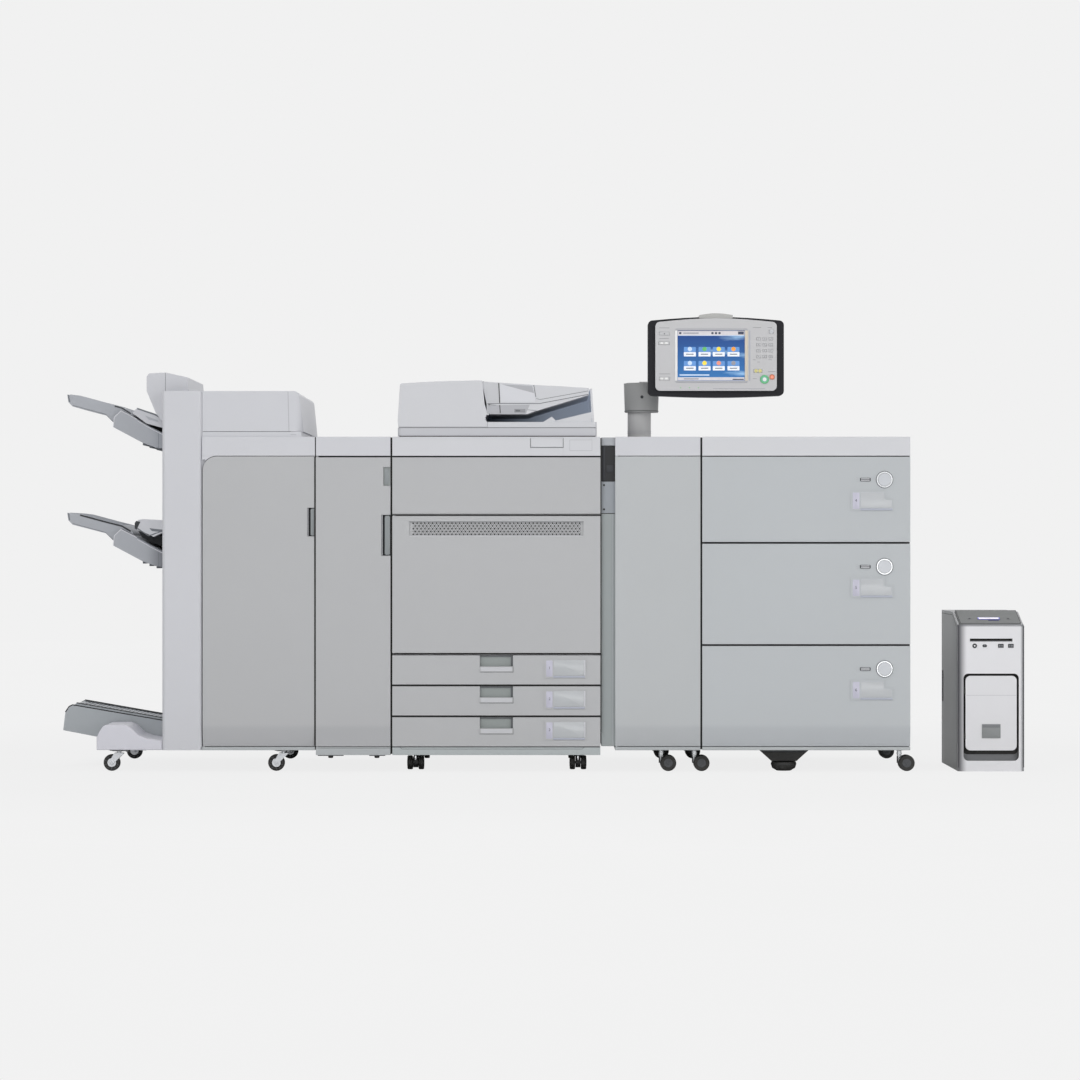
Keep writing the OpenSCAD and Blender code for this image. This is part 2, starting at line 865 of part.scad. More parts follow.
module transport_rollers() {
    color("dimgray") placed() {
        shafts((column_w + finisher_w) / 2 + roller_l, finisher_d, finisher_shaft_zs);
        shafts(coupler_x + coupler_w / 2, coupler_d, coupler_shaft_zs);
        shafts(relay_x + relay_w / 2, relay_d, relay_shaft_zs);
    }
}

// Print engine
module engine_frame() {
    x0 = engine_x;
    x1 = engine_x + engine_w;
    color("silver") placed() {
        carcass(engine_x, engine_w, engine_d, skirt_z, band_z);
        // Shelves of the process and toner spaces, and the top
        for (z = [process_shelf_z, toner_shelf_z, band_z])
            block(
                [x0 + wall + butt, back_of_cover, z - wall],
                [x1 - wall - butt, engine_d - wall - butt, z - butt]
            );
        // Cross rails in the gaps under the toner cover and the front cover
        for (z = [toner_cover_z - running, front_cover_z - seam])
            block([x0, 1.5 * seam, z - cross_rail_t], [x1, back_of_cover - butt, z]);
        // Rails that the drawers run on
        for (k = [0:2])
            for (x = [x0 + wall + butt, x1 - wall - rail_w - butt])
                block(
                    [x, back_of_cover, drawer_rail_z(k) - rail_h],
                    [x + rail_w, back_of_cover + drawer_box_d, drawer_rail_z(k)]
                );
    }
}
function drawer_z(k) = cover_z + k * drawer_pitch;
function drawer_rail_z(k) = drawer_z(k) + rail_h + 2 * seam;

module toner_bottles() {
    color("gold") placed()
        for (k = [0:3])
            translate([
                engine_x + wall + bottle_pitch * (k + 0.5), bottle_y,
                toner_shelf_z + bottle_d / 2 + running
            ])
                rotate([-90, 0, 0])
                    rotate_extrude()
                        polygon([
                            [0, 0], [bottle_cap_r * 0.9, 0], [bottle_cap_r, grip_t / 3],
                            [bottle_cap_r, grip_t * 2], [bottle_d * 0.4, bottle_neck],
                            [bottle_d / 2, bottle_neck + grip_t], [bottle_d / 2, bottle_l],
                            [bottle_d * 0.44, bottle_l + grip_t], [0, bottle_l + grip_t]
                        ]);
}
module drum_units() {
    color("darkslategray") placed()
        for (k = [0:3])
            translate([drum_first - k * drum_pitch - drum_w / 2, 0, drum_z]) {
                front_view(unit_y, drum_l)
                    polygon(soft_rect(drum_w, drum_h, [grip_t, grip_t, drum_w / 4, drum_w / 4]));
                front_view(unit_y - grip_proud, grip_proud - butt)
                    translate([drum_w / 2 - grip_t, drum_h / 5])
                        polygon(soft_rect(2 * grip_t, drum_h / 2, [grip_t, grip_t, grip_t, grip_t]));
            }
}
module transfer_unit() {
    w = 3 * drum_pitch + drum_w + belt_over;
    x = drum_first - 3 * drum_pitch - drum_w / 2 - belt_over / 2;
    r = belt_h / 2;
    color("dimgray") placed() {
        translate([x, 0, belt_z]) front_view(unit_y, drum_l)
            polygon(soft_rect(w - belt_over / 2, belt_h, [r, r, r, r]));
    }
}
module fuser_unit() {
    z = process_shelf_z;
    color("gray") placed() {
        block(
            [engine_x + wall + grip_t, unit_y, z],
            [engine_x + wall + grip_t + fuser_w, engine_d - wall, z + fuser_h]
        );
        // Grip that the unit is drawn out by
        block(
            [engine_x + wall + 3 * grip_t, unit_y - grip_proud, z + fuser_h / 2],
            [engine_x + wall + fuser_w - grip_t, unit_y - butt, z + fuser_h / 2 + grip_t]
        );
        // Conveyor that feeds the fuser
        block(
            [engine_x + wall + 3 * grip_t + fuser_w, unit_y, z],
            [engine_x + engine_w - wall - 2 * grip_t, engine_d - wall, z + fuser_h * 0.6]
        );
    }
}

module toner_cover() {
    // It tips about an axis inside its rounded lower edge, on the cross rail
    color("darkgray") placed()
        side_view(engine_x, engine_w)
            translate([0, toner_cover_z])
                polygon(soft_rect(cover_t, toner_cover_h, [tip_axis_in, 0, 0, 0]));
}

module front_cover() {
    gx = engine_x + (engine_w - grille_w) / 2;
    gz = front_cover_z + front_cover_h - grille_drop - grille_h;
    color("darkgray") placed() {
        difference() {
            cover(engine_x, front_cover_z, engine_w, front_cover_h, [0, 0, 0, 0], 0);
            block([gx, -over, gz], [gx + grille_w, cover_t + over, gz + grille_h]);
            block(
                [gx - grille_edge, grille_t, gz - grille_edge],
                [gx + grille_w + grille_edge, cover_t + over, gz + grille_h + grille_edge]
            );
        }
        door_pin(engine_x, front_cover_z - seam + running, front_cover_z + over);
        door_pin(
            engine_x, front_cover_z + front_cover_h - over,
            toner_cover_z - cross_rail_t - 2 * running
        );
    }
    // Perforated plate behind the window
    color("dimgray") placed()
        translate([gx - grille_edge + butt, 0, gz - grille_edge + butt])
            front_view(grille_t + butt, grille_t)
                difference() {
                    square([grille_w + 2 * grille_edge - 2 * butt, grille_h + 2 * grille_edge - 2 * butt]);
                    grille_holes();
                }
}
module grille_holes() {
    columns = floor((grille_w - grille_pitch) / grille_pitch);
    row_pitch = grille_h / grille_rows;
    for (row = [0:grille_rows - 1])
        for (column = [0:columns - 1 - row % 2])
            translate([
                grille_edge + (grille_w - (columns - 1) * grille_pitch) / 2
                    + (column + (row % 2) / 2) * grille_pitch,
                grille_edge + (row + 0.5) * row_pitch
            ])
                circle(d = grille_hole, $fn = 8);
}

// One drawer of the engine: front with its pull, label holder and open box
module paper_drawer(k) {
    z = drawer_z(k);
    pull_x = engine_x + (engine_w - pull_w) / 2;
    pull_top = z + drawer_front_h;
    box_x0 = engine_x + wall + 2 * seam;
    box_x1 = engine_x + engine_w - wall - 2 * seam;
    box_y1 = back_of_cover + drawer_box_d;
    floor_z = drawer_rail_z(k) + running;
    placed() {
        difference() {
            cover(engine_x, z, engine_w, drawer_front_h, [0, 0, 0, 0], 0);
            block(
                [pull_x, -over, pull_top - pull_h - pull_lip / 2],
                [pull_x + pull_w, pull_d, pull_top + over]
            );
        }
        // Rounded lip of the pull, over the pocket's lower end
        side_view(pull_x, pull_w)
            translate([-lip_proud, pull_top - pull_h - pull_lip])
                polygon(soft_rect(2 * lip_proud, pull_lip, [lip_proud / 2, 0, 0, lip_proud]));
        translate([engine_x + engine_w - label_inset - label_w, 0, pull_top - label_drop - label_h])
            front_view(-label_t - butt, label_t)
                polygon(soft_rect(label_w, label_h, [label_t, label_t, label_t, label_t]));
        // Box: bottom, sides, rear
        block([box_x0, cover_t, floor_z], [box_x1, box_y1, floor_z + drawer_wall]);
        for (x = [box_x0, box_x1 - drawer_wall])
            block(
                [x, cover_t + butt, floor_z + drawer_wall + butt],
                [x + drawer_wall, box_y1, floor_z + drawer_box_h]
            );
        block(
            [box_x0 + drawer_wall + butt, box_y1 - drawer_wall, floor_z + drawer_wall + butt],
            [box_x1 - drawer_wall - butt, box_y1, floor_z + drawer_box_h]
        );
    }
}
module paper_drawer_1() {
    color("darkgray") paper_drawer(2);
}
module paper_drawer_2() {
    color("darkgray") paper_drawer(1);
}
module paper_drawer_3() {
    color("darkgray") paper_drawer(0);
}

// Scanner housing with the platen glass in its rim
module reader_housing() {
    x0 = engine_x;
    x1 = engine_x + engine_w;
    top = line_h - reader_rim;
    flap_x1 = x1 - flap_inset;
    flap_x0 = flap_x1 - flap_w;
    gx0 = x0 + glass_inset;
    gx1 = gx0 + glass_w;
    gy1 = glass_y + glass_d;
    color("gainsboro") placed() {
        block([x0, fascia_d + butt, band_z], [x1, reader_d, top]);
        // Fascia in front, round the recess of the main switch
        block([x0, 0, band_z], [flap_x0, fascia_d, top]);
        block([flap_x1, 0, band_z], [x1, fascia_d, top]);
        block([flap_x0 + butt, 0, band_z], [flap_x1 - butt, fascia_d, line_h - flap_open_h]);
        // Rim round the glass
        block([x0, 0, top + butt], [x1, glass_y, line_h]);
        block([x0, gy1, top + butt], [x1, reader_d, line_h]);
        block([x0, glass_y + butt, top + butt], [gx0, gy1 - butt, line_h]);
        block([gx1, glass_y + butt, top + butt], [x1, gy1 - butt, line_h]);
        // Ears that hold the feeder's hinge barrels
        for (x = feeder_hinge_xs())
            for (ear = [x - hinge_ear_w - running, x + hinge_block_w + running])
                side_view(ear, hinge_ear_w)
                    translate([feeder_axis_y - hinge_r, line_h])
                        polygon(soft_rect(
                            2 * hinge_r, feeder_axis_z + hinge_r - line_h, [0, 0, hinge_r, hinge_r]
                        ));
        // Exhaust cover behind the scanner
        block([x0, reader_d + butt, band_z], [x1, engine_d, top]);
    }
    color("dimgray") placed()
        block(
            [(flap_x0 + flap_x1 - switch_w) / 2, fascia_d - switch_t, line_h - flap_open_h + 2 * flap_t],
            [(flap_x0 + flap_x1 + switch_w) / 2, fascia_d, line_h - flap_open_h + 2 * flap_t + switch_h]
        );
}
module platen_glass() {
    color("lightcyan") placed()
        block(
            [engine_x + glass_inset + butt, glass_y + butt, line_h - reader_rim],
            [engine_x + glass_inset + glass_w - butt, glass_y + glass_d - butt, line_h - butt]
        );
}
module power_flap() {
    x1 = engine_x + engine_w - flap_inset - seam / 4;
    color("gainsboro") placed()
        side_view(x1 - flap_w + seam / 2, flap_w - seam / 2)
            translate([0, line_h - flap_open_h + running])
                polygon(soft_rect(
                    flap_t, flap_open_h - reader_rim - 2 * running, [flap_t / 2, flap_t / 2, 0, 0]
                ));
}

// Document feeder: base slab, rear housing, end wall and delivery ramp
module feeder_base() {
    x0 = feeder_x;
    x1 = feeder_x + feeder_w;
    z = feeder_z;
    x2 = x0 + dome_w + key_gap;
    rear_y = feeder_y + feeder_d - feeder_rear_d;
    front = rear_y - feeder_y - butt;
    color("gainsboro") placed() {
        translate([x0, feeder_y, z]) linear_extrude(slab_low_t)
            polygon(soft_rect(feeder_w, feeder_d, even(column_edge_r)));
        // Core under the cover's rollers
        block(
            [x0 + 5 * dome_wall, feeder_y + 4 * dome_wall, z + slab_low_t + butt],
            [x0 + dome_w - 5 * dome_wall, rear_y - 4 * dome_wall, z + slab_t + dome_foot_h]
        );
        // Necks that leave a groove open over the slab
        block(
            [x2 + end_wall, feeder_y + end_wall, z + slab_low_t + butt],
            [x1 - end_wall, rear_y - butt, dome_z]
        );
        block(
            [x0 + end_wall, rear_y, z + slab_low_t + butt],
            [x1 - end_wall, feeder_y + feeder_d - end_wall, dome_z]
        );
        // Floor of the delivery with its paper stop, ramp and end wall
        translate([x2, feeder_y, dome_z + butt]) linear_extrude(z + slab_t - dome_z - 2 * butt)
            polygon(soft_rect(x1 - x2, front, [0, column_edge_r, 0, 0]));
        translate([x0, 0, z + slab_t]) front_view(feeder_y, front)
            for (shares = [paper_stop_shares, output_shares, end_shares])
                polygon(sized(shares, feeder_w, input_h));
        // Rear housing that closes the feeder behind the cover and the trays
        translate([x0, 0, dome_z + butt]) front_view(rear_y, feeder_rear_d)
            polygon(sized(rear_shares, feeder_w, dome_h - butt));
        // Hinge barrels at the rear, between the scanner's ears
        for (x = feeder_hinge_xs()) {
            rod_x(x, feeder_axis_y, feeder_axis_z, hinge_r, hinge_block_w);
            block(
                [x, feeder_y + feeder_d - over, feeder_axis_z - hinge_r / 2],
                [x + hinge_block_w, feeder_axis_y, feeder_axis_z + hinge_r / 2]
            );
        }
    }
}
function feeder_hinge_xs() = [
    feeder_x + hinge_block_w, feeder_x + feeder_w - 2 * hinge_block_w
];

module feed_cover() {
    rear = feeder_d - feeder_rear_d - key_gap;
    side = 2 * dome_wall;
    color("gainsboro") placed()
        translate([feeder_x, 0, dome_z])
            difference() {
                front_view(feeder_y, rear) polygon(sized(dome_shares, dome_w, dome_h));
                front_view(feeder_y + dome_wall, rear - 2 * dome_wall)
                    translate([side, -over])
                        polygon(sized(dome_shares, dome_w - 2 * side, dome_h - dome_wall + over));
            }
}
module original_tray() {
    x = dome_w * input_share;
    color("whitesmoke") placed()
        translate([feeder_x + x, 0, feeder_z + slab_t])
            front_view(feeder_y, feeder_d - feeder_rear_d - key_gap)
                for (shares = [input_shares, guide_shares])
                    polygon(sized(shares, feeder_w - x - input_end, input_h));
}

// Feed duct between the engine and the relay module
module feed_duct() {
    x0 = duct_x;
    x1 = duct_x + duct_w;
    z3 = line_h - duct_cap_h;
    z2 = z3 - duct_dark_h;
    z1 = z2 - duct_mid_h;
    color("dimgray") placed() {
        block([x0, duct_y, z3], [x1, duct_y + duct_d, line_h - seam]);
        block([x0, duct_y + seam, z2], [x1, duct_y + duct_d, z3 - butt]);
        block([x0, duct_y, z1], [x1, duct_y + duct_d, z2 - butt]);
        block([x0, duct_y, cover_z], [x1, duct_y + duct_d, z1 - seam / 4]);
        dock(engine_x + engine_w, duct_x);
    }
}

// Relay module
module relay_cabinet() {
    color("gainsboro") placed() band(relay_x, relay_w, relay_d);
    color("silver") placed() {
        carcass(relay_x, relay_w, relay_d, underside_z, band_z);
        dock(relay_x + relay_w, deck_x);
        crossbars(relay_x + wall + butt, relay_x + relay_w - wall - butt, relay_d, relay_shaft_zs);
    }
}
module relay_door() {
    h = band_z - seam - cover_z;
    color("darkgray") placed() {
        difference() {
            cover(relay_x, cover_z, relay_w, h, [0, 0, 0, 0], kick_d);
            // Finger slot along the free edge, hidden from the front
            block(
                [relay_x + relay_w - relay_slot[0], wall / 2, relay_slot[1]],
                [relay_x + relay_w + over, cover_t + over, relay_slot[1] + relay_slot[2]]
            );
        }
        door_pin(relay_x, cover_z - seam + running, cover_z + over);
        door_pin(relay_x, cover_z + h - over, band_z - running);
    }
}

// Console on its post
module console_post() {
    color("darkgray") placed()
        translate([post_x, post_y, line_h]) cylinder(d = post_d, h = post_h);
}
collar_z = line_h + post_h + running;
tilt_axis = [console_x + console_w / 2, console_y + console_d + tilt_back, console_z + tilt_low];
module console_arm() {
    bar_z = collar_z + collar_h - arm_h + arm_rise;
    bar_x1 = tilt_axis[0] + tilt_w / 2;
    color("gray") placed() {
        translate([post_x + collar_shift, post_y, collar_z])
            cylinder(r1 = collar_r - collar_flare, r2 = collar_r, h = collar_h);
        block([post_x, post_y - arm_w / 2, bar_z], [bar_x1, post_y + arm_w / 2, bar_z + arm_h]);
        // Neck that brings the tilt barrel forward
        block(
            [bar_x1 - tilt_w, tilt_axis[1] + tilt_r / 2, bar_z],
            [bar_x1, post_y, tilt_axis[2] + tilt_r / 2]
        );
        rod_x(bar_x1 - tilt_w, tilt_axis[1], tilt_axis[2], tilt_r, tilt_w);
        block(
            [bar_x1 - tilt_w, tilt_axis[1], tilt_axis[2] - tilt_r],
            [bar_x1, tilt_axis[1] + tilt_r, tilt_axis[2] + tilt_r]
        );
    }
}
module console_back() {
    back = console_y + console_d;
    color("darkslategray") placed() {
        translate([console_x, 0, console_z]) front_view(console_y, console_d)
            polygon(arched(console_w, console_h, console_rise, console_rise / 2, console_corner_r));
        // Ears on both sides of the arm's barrel
        for (x = [tilt_axis[0] - tilt_w / 2 - ear_w - running, tilt_axis[0] + tilt_w / 2 + running]) {
            rod_x(x, tilt_axis[1], tilt_axis[2], tilt_r, ear_w);
            block([x, back - over, tilt_axis[2] - tilt_r], [x + ear_w, tilt_axis[1], tilt_axis[2] + tilt_r]);
        }
    }
    // Light cap over the middle of the upper edge
    color("gainsboro") placed()
        translate([
            console_x + (console_w - cap_w) / 2, 0,
            console_z + console_h + console_rise - cap_drop
        ])
            front_view(console_y - cap_proud, console_d)
                polygon(arched(cap_w, cap_h / 2, cap_h / 4, 0, seam));
}
module console_bezel() {
    w = console_w - 2 * bezel_side;
    h = console_h - bezel_low - bezel_top;
    color("gainsboro") placed()
        translate([console_x + bezel_side, 0, console_z + bezel_low])
            difference() {
                front_view(console_y - bezel_t, bezel_t)
                    polygon(arched(w, h, console_rise, 0, console_corner_r));
                front_view(console_y - bezel_t - over, bezel_t + 2 * over) {
                    translate([screen_left - bezel_side, screen_low - bezel_low])
                        square([screen_w, screen_h]);
                    key_holes();
                }
            }
}
module key_holes() {
    for (p = pad_keys()) translate([p[0], p[1]]) offset_rect(p[2], key_h);
    for (p = side_keys()) translate([p[0], p[1]]) offset_rect(p[2], wide_key_h);
    for (p = round_keys()) translate([p[0], p[1]]) circle(r = p[2] + key_gap);
}
module offset_rect(w, h) {
    translate([-w / 2 - key_gap, -h / 2 - key_gap]) square([w + 2 * key_gap, h + 2 * key_gap]);
}
// Place and size of a key from its shares of a field, seen from the bezel's corner
function in_field(field, p) = [
    field[0] + p[0] * field[1] - bezel_side, p[1] * console_h - bezel_low, p[2] * field[1]
];
function pad_keys() = [
    for (z = pad_shares[1])
        for (x = pad_shares[0])
            in_field(right_field, [x, z, key_share])
];
function side_keys() = concat(
    [for (p = left_key_shares) in_field(left_field, p)],
    [for (p = right_key_shares) in_field(right_field, p)]
);
function round_keys() = [for (p = [start_shares, stop_shares]) in_field(right_field, p)];
module key_frame() {
    placed() translate([console_x + bezel_side, 0, console_z + bezel_low]) children();
}
module key_at(p, h) {
    translate([p[0] - p[2] / 2, 0, p[1] - h / 2]) front_view(console_y - bezel_t - key_proud, key_t)
        polygon(soft_rect(p[2], h, [seam, seam, seam, seam]));
}
module round_key(p) {
    rod_y(p[0], console_y - bezel_t - key_proud, p[1], p[2], key_t);
}
module console_screen() {
    color("steelblue") placed()
        translate([console_x + screen_left, 0, console_z + screen_low])
            front_view(console_y - bezel_t + screen_sink, bezel_t - screen_sink)
                translate([butt, butt]) square([screen_w - 2 * butt, screen_h - 2 * butt]);
}
module keypad() {
    color("lightgray") key_frame() {
        for (p = pad_keys()) key_at(p, key_h);
        for (p = side_keys()) key_at(p, wide_key_h);
    }
}
module start_key() {
    color("mediumseagreen") key_frame() round_key(round_keys()[0]);
}
module stop_key() {
    color("tomato") key_frame() round_key(round_keys()[1]);
}

// Paper deck
module deck_cabinet() {
    x0 = deck_x;
    x1 = deck_x + deck_w;
    color("gainsboro") placed() band(deck_x, deck_w, deck_d);
    color("silver") placed() {
        carcass(deck_x, deck_w, deck_d, underside_z, band_z);
        for (k = [0:2])
            for (x = [x0 + wall + butt, x1 - wall - rail_w - butt])
                block(
                    [x, back_of_cover, deck_rail_top(k) - rail_h],
                    [x + rail_w, back_of_cover + deck_box_d, deck_rail_top(k)]
                );
    }
}
function deck_rail_top(k) = deck_zs[k] + rail_h + 2 * seam;

module deck_drawer(k) {
    z = deck_zs[k];
    h = deck_heights[k];
    top = z + h;
    x1 = deck_x + deck_w;
    box_x0 = deck_x + wall + 2 * seam;
    box_x1 = x1 - wall - 2 * seam;
    box_y1 = back_of_cover + deck_box_d;
    floor_z = deck_rail_top(k) + running;
    box_h = h - 3 * deck_side_inset;
    button_x = x1 - button_inset;
    button_z = top - button_drop;
    placed() {
        difference() {
            union() {
                cover(deck_x, z, deck_w, h, [0, 0, 0, 0], k == 0 ? kick_d : 0);
                rod_y(button_x, -ring_t, button_z, button_d / 2 + ring_w, ring_t + over);
            }
            rod_y(
                button_x, -ring_t - over, button_z, button_d / 2 + key_gap,
                ring_t + over + cover_t - wall / 2
            );
        }
        translate([x1 - deck_label_inset - deck_label_w, 0, top - deck_label_drop - deck_label_h])
            front_view(-deck_label_t - butt, deck_label_t)
                polygon(sized(deck_label_shares, deck_label_w, deck_label_h));
        translate([button_x - lamp_gap - lamp_w / 2, 0, button_z - lamp_h / 2])
            front_view(-deck_label_t - butt, deck_label_t)
                polygon(soft_rect(lamp_w, lamp_h, [lamp_h / 4, lamp_h / 4, lamp_h / 4, lamp_h / 4]));
        // Box: bottom, sides, rear, and the fences that square the stack
        block([box_x0, cover_t, floor_z], [box_x1, box_y1, floor_z + drawer_wall]);
        for (x = [box_x0, box_x1 - drawer_wall])
            block(
                [x, cover_t + butt, floor_z + drawer_wall + butt],
                [x + drawer_wall, box_y1, floor_z + box_h]
            );
        block(
            [box_x0 + drawer_wall + butt, box_y1 - drawer_wall, floor_z + drawer_wall + butt],
            [box_x1 - drawer_wall - butt, box_y1, floor_z + box_h]
        );
        for (y = [cover_t + 5 * deck_side_inset, box_y1 - 5 * deck_side_inset])
            block(
                [box_x0 + 7 * deck_side_inset, y, floor_z + drawer_wall + butt],
                [box_x0 + 9 * deck_side_inset, y + fence_t, floor_z + box_h - deck_side_inset]
            );
    }
}
module deck_button(k) {
    placed()
        rod_y(
            deck_x + deck_w - button_inset, -ring_t - button_proud,
            deck_zs[k] + deck_heights[k] - button_drop, button_d / 2, button_t
        );
}
module deck_drawer_1() {
    color("darkgray") deck_drawer(2);
}
module deck_drawer_2() {
    color("darkgray") deck_drawer(1);
}
module deck_drawer_3() {
    color("darkgray") deck_drawer(0);
}
module deck_button_1() {
    color("silver") deck_button(2);
}
module deck_button_2() {
    color("silver") deck_button(1);
}
module deck_button_3() {
    color("silver") deck_button(0);
}
module deck_foot() {
    low = underside_z - deck_foot_h;
    color("black") placed() {
        translate([deck_foot_x - deck_foot_w / 2, 0, low])
            front_view(deck_foot_y - pad_r / 2, pad_r)
                polygon([
                    [(deck_foot_w - deck_foot_neck) / 2, 0], [(deck_foot_w + deck_foot_neck) / 2, 0],
                    [deck_foot_w, deck_foot_h - seam], [deck_foot_w, deck_foot_h],
                    [0, deck_foot_h], [0, deck_foot_h - seam]
                ]);
        translate([deck_foot_x, deck_foot_y, 0])
            rotate_extrude()
                polygon([
                    [0, 0], [pad_r * 0.55, 0], [pad_r * 0.9, pad_t * 0.4], [pad_r, pad_t],
                    [pad_r * 0.96, low - seam], [pad_neck_r, low - seam], [pad_neck_r, low + over],
                    [0, low + over]
                ]);
    }
}

// Print server
module server_case() {
    y0 = server_y + server_face_t;
    y1 = server_y + server_d;
    color("gray") placed()
        side_view(server_x, server_w)
            polygon([
                [y0, 0], [y1, 0], [y1, server_h], [server_y + server_slope_y, server_h],
                [y0, server_front_h]
            ]);
}
module server_bezel() {
    bay_x = (server_w - bay_w) / 2;
    color("gainsboro") placed()
        translate([server_x, 0, 0])
            difference() {
                translate([0, server_y, 0]) linear_extrude(server_front_h)
                    polygon(soft_rect(server_w, server_face_t, [server_round_r, server_round_r, 0, 0]));
                translate([bay_x, 0, bay_z]) front_view(server_y - over, server_face_t + 2 * over)
                    polygon(soft_rect(bay_w, bay_h, [bay_r, bay_r, bay_r, bay_r]));
                block(
                    [(server_w - disc_w) / 2, server_y - over, disc_z],
                    [(server_w + disc_w) / 2, server_y + disc_depth, disc_z + disc_h]
                );
                for (share = port_shares)
                    block(
                        [share * server_w - port_w / 2, server_y - over, disc_z - port_drop],
                        [share * server_w + port_w / 2, server_y + port_depth, disc_z - port_drop + port_h]
                    );
            }
}
module server_door() {
    x = server_x + (server_w - server_door_w) / 2;
    z = bay_z + bay_h - server_door_drop - server_door_h;
    color("whitesmoke") placed() {
        translate([x, 0, z]) front_view(server_y, server_door_t)
            polygon(soft_rect(server_door_w, server_door_h, [bay_r, bay_r, bay_r, bay_r]));
        // Bare plate in the lower middle
        translate([x + (server_door_w - badge_w) / 2, 0, z + badge_low])
            front_view(server_y - badge_t, badge_t) square([badge_w, badge_h]);
        // Hinge knuckles in the left of the bay
        for (share = [0.15, 0.75])
            translate([0, server_y, z + share * server_door_h]) {
                translate([server_hinge_x, lug_r, 0]) cylinder(r = lug_r, h = lug_h);
                block([server_hinge_x, 0, 0], [x + over, 2 * lug_r, lug_h]);
            }
    }
}
module server_panel() {
    run = server_slope_y - server_face_t;
    fall = server_h - server_front_h;
    slope = atan(fall / run);
    l = norm([run, fall]);
    color("dimgray") placed()
        translate([server_x + panel_side, server_y + server_face_t, server_front_h])
            rotate([slope, 0, 0]) translate([0, 0, butt / 2]) {
                cube([server_w - 2 * panel_side, l, panel_t]);
                translate([(server_w - 2 * panel_side - display_w) / 2, l / 4, panel_t - butt])
                    cube([display_w, display_l, display_t]);
            }
}

// Casters
// Zinc fork with the wheel's centre at x, y and the stem a trail to its right
module zinc_fork(x, y, top) {
    r = fork_wheel_d / 2;
    inner = wheel_w / 2 + fork_gap;
    bridge_z = 2 * r + fork_gap;
    difference() {
        union() {
            for (side = [-inner - fork_t, inner])
                translate([x, 0, r]) front_view(y + side, fork_t)
                    polygon([
                        [-2 * axle_r, 0], [-axle_r, -2 * axle_r], [axle_r, -2 * axle_r], [2 * axle_r, 0],
                        [trail + 2 * stem_r, bridge_z - r], [trail + 2 * stem_r, bridge_z - r + fork_t],
                        [trail - 2 * stem_r, bridge_z - r + fork_t], [-axle_r, r / 3]
                    ]);
            block(
                [x + trail - 2 * stem_r, y - inner - fork_t, bridge_z],
                [x + trail + 2 * stem_r, y + inner + fork_t, bridge_z + fork_t]
            );
            translate([x + trail, y, bridge_z + over]) cylinder(r = stem_r, h = top - bridge_z - over);
            block(
                [x + trail - plate_w / 2, y - plate_w / 2, top - plate_t],
                [x + trail + plate_w / 2, y + plate_w / 2, top]
            );
        }
        rod_y(x, y - inner - fork_t - over, r, axle_r + running, 2 * (inner + fork_t + over));
    }
}
// Hood between the twin wheels, turned by an angle about the stem
module twin_hood(x, y, r, gap, top, lead) {
    translate([x, y, 0]) {
        front_view(-gap / 2, gap)
            difference() {
                union() {
                    translate([0, r]) circle(r = r * 0.72);
                    translate([min(0, lead) - stem_r, r]) square([abs(lead) + 2 * stem_r, r * 0.8]);
                }
                translate([0, r]) circle(r = axle_r + running);
            }
        translate([lead, 0, r]) cylinder(r = stem_r, h = top - r);
    }
}
module engine_hood(x, y, top) {
    r = engine_wheel_d / 2;
    translate([x, y, 0]) rotate([0, 0, 90]) twin_hood(0, 0, r, engine_twin_gap, top, trail / 2);
}
function front_rear(d) = [caster_y, d - caster_y];

module caster_forks() {
    color("lightsteelblue") placed()
        for (x = finisher_casters)
            for (y = front_rear(finisher_d))
                zinc_fork(x, y, underside_z);
    color("black") placed() {
        for (x = [engine_x + engine_caster_inset, engine_x + engine_w - engine_caster_inset])
            for (y = [engine_caster_y, engine_d - engine_caster_y])
                engine_hood(x, y, skirt_z);
        for (x = [relay_caster_x, deck_casters[0], deck_casters[1]])
            for (y = front_rear(deck_d))
                twin_hood(x, y, deck_wheel_d / 2, twin_gap, underside_z, -trail);
    }
}
// A solid wheel with stub axles, along y
module wheel(x, y, r, w, axle) {
    translate([x, y - axle / 2, r]) rotate([-90, 0, 0]) {
        translate([0, 0, (axle - w) / 2])
            rotate_extrude()
                polygon([
                    [0, 0], [r * 0.55, 0], [r * 0.62, w / 10], [r * 0.9, w / 10], [r, w / 4],
                    [r, w * 3 / 4], [r * 0.9, w * 0.9], [r * 0.62, w * 0.9], [r * 0.55, w], [0, w]
                ]);
        cylinder(r = axle_r, h = axle);
    }
}
module fork_wheels(x) {
    color("black") placed()
        for (y = front_rear(finisher_d))
            wheel(x, y, fork_wheel_d / 2, wheel_w, wheel_w + 2 * (fork_gap + fork_t));
}
// Two discs on one axle
module twin_wheel(r, w, gap) {
    rod_y(0, -gap / 2 - w, 0, axle_r, gap + 2 * w);
    for (side = [-gap / 2 - w - fork_gap, gap / 2 + fork_gap])
        translate([0, side, 0]) rotate([-90, 0, 0])
            rotate_extrude()
                polygon([[0, 0], [r * 0.9, 0], [r, w / 6], [r, w * 5 / 6], [r * 0.9, w], [0, w]]);
}
module deck_wheels(x) {
    color("black") placed()
        for (y = front_rear(deck_d))
            translate([x, y, deck_wheel_d / 2]) twin_wheel(deck_wheel_d / 2, twin_w, twin_gap);
}
module engine_wheels(y) {
    color("black") placed()
        for (x = [engine_x + engine_caster_inset, engine_x + engine_w - engine_caster_inset])
            translate([x, y, engine_wheel_d / 2]) rotate([0, 0, 90])
                twin_wheel(engine_wheel_d / 2, engine_twin_w, engine_twin_gap);
}
module finisher_wheels_left() {
    fork_wheels(finisher_casters[0]);
}
module finisher_wheels_right() {
    fork_wheels(finisher_casters[1]);
}
module engine_wheels_front() {
    engine_wheels(engine_caster_y);
}
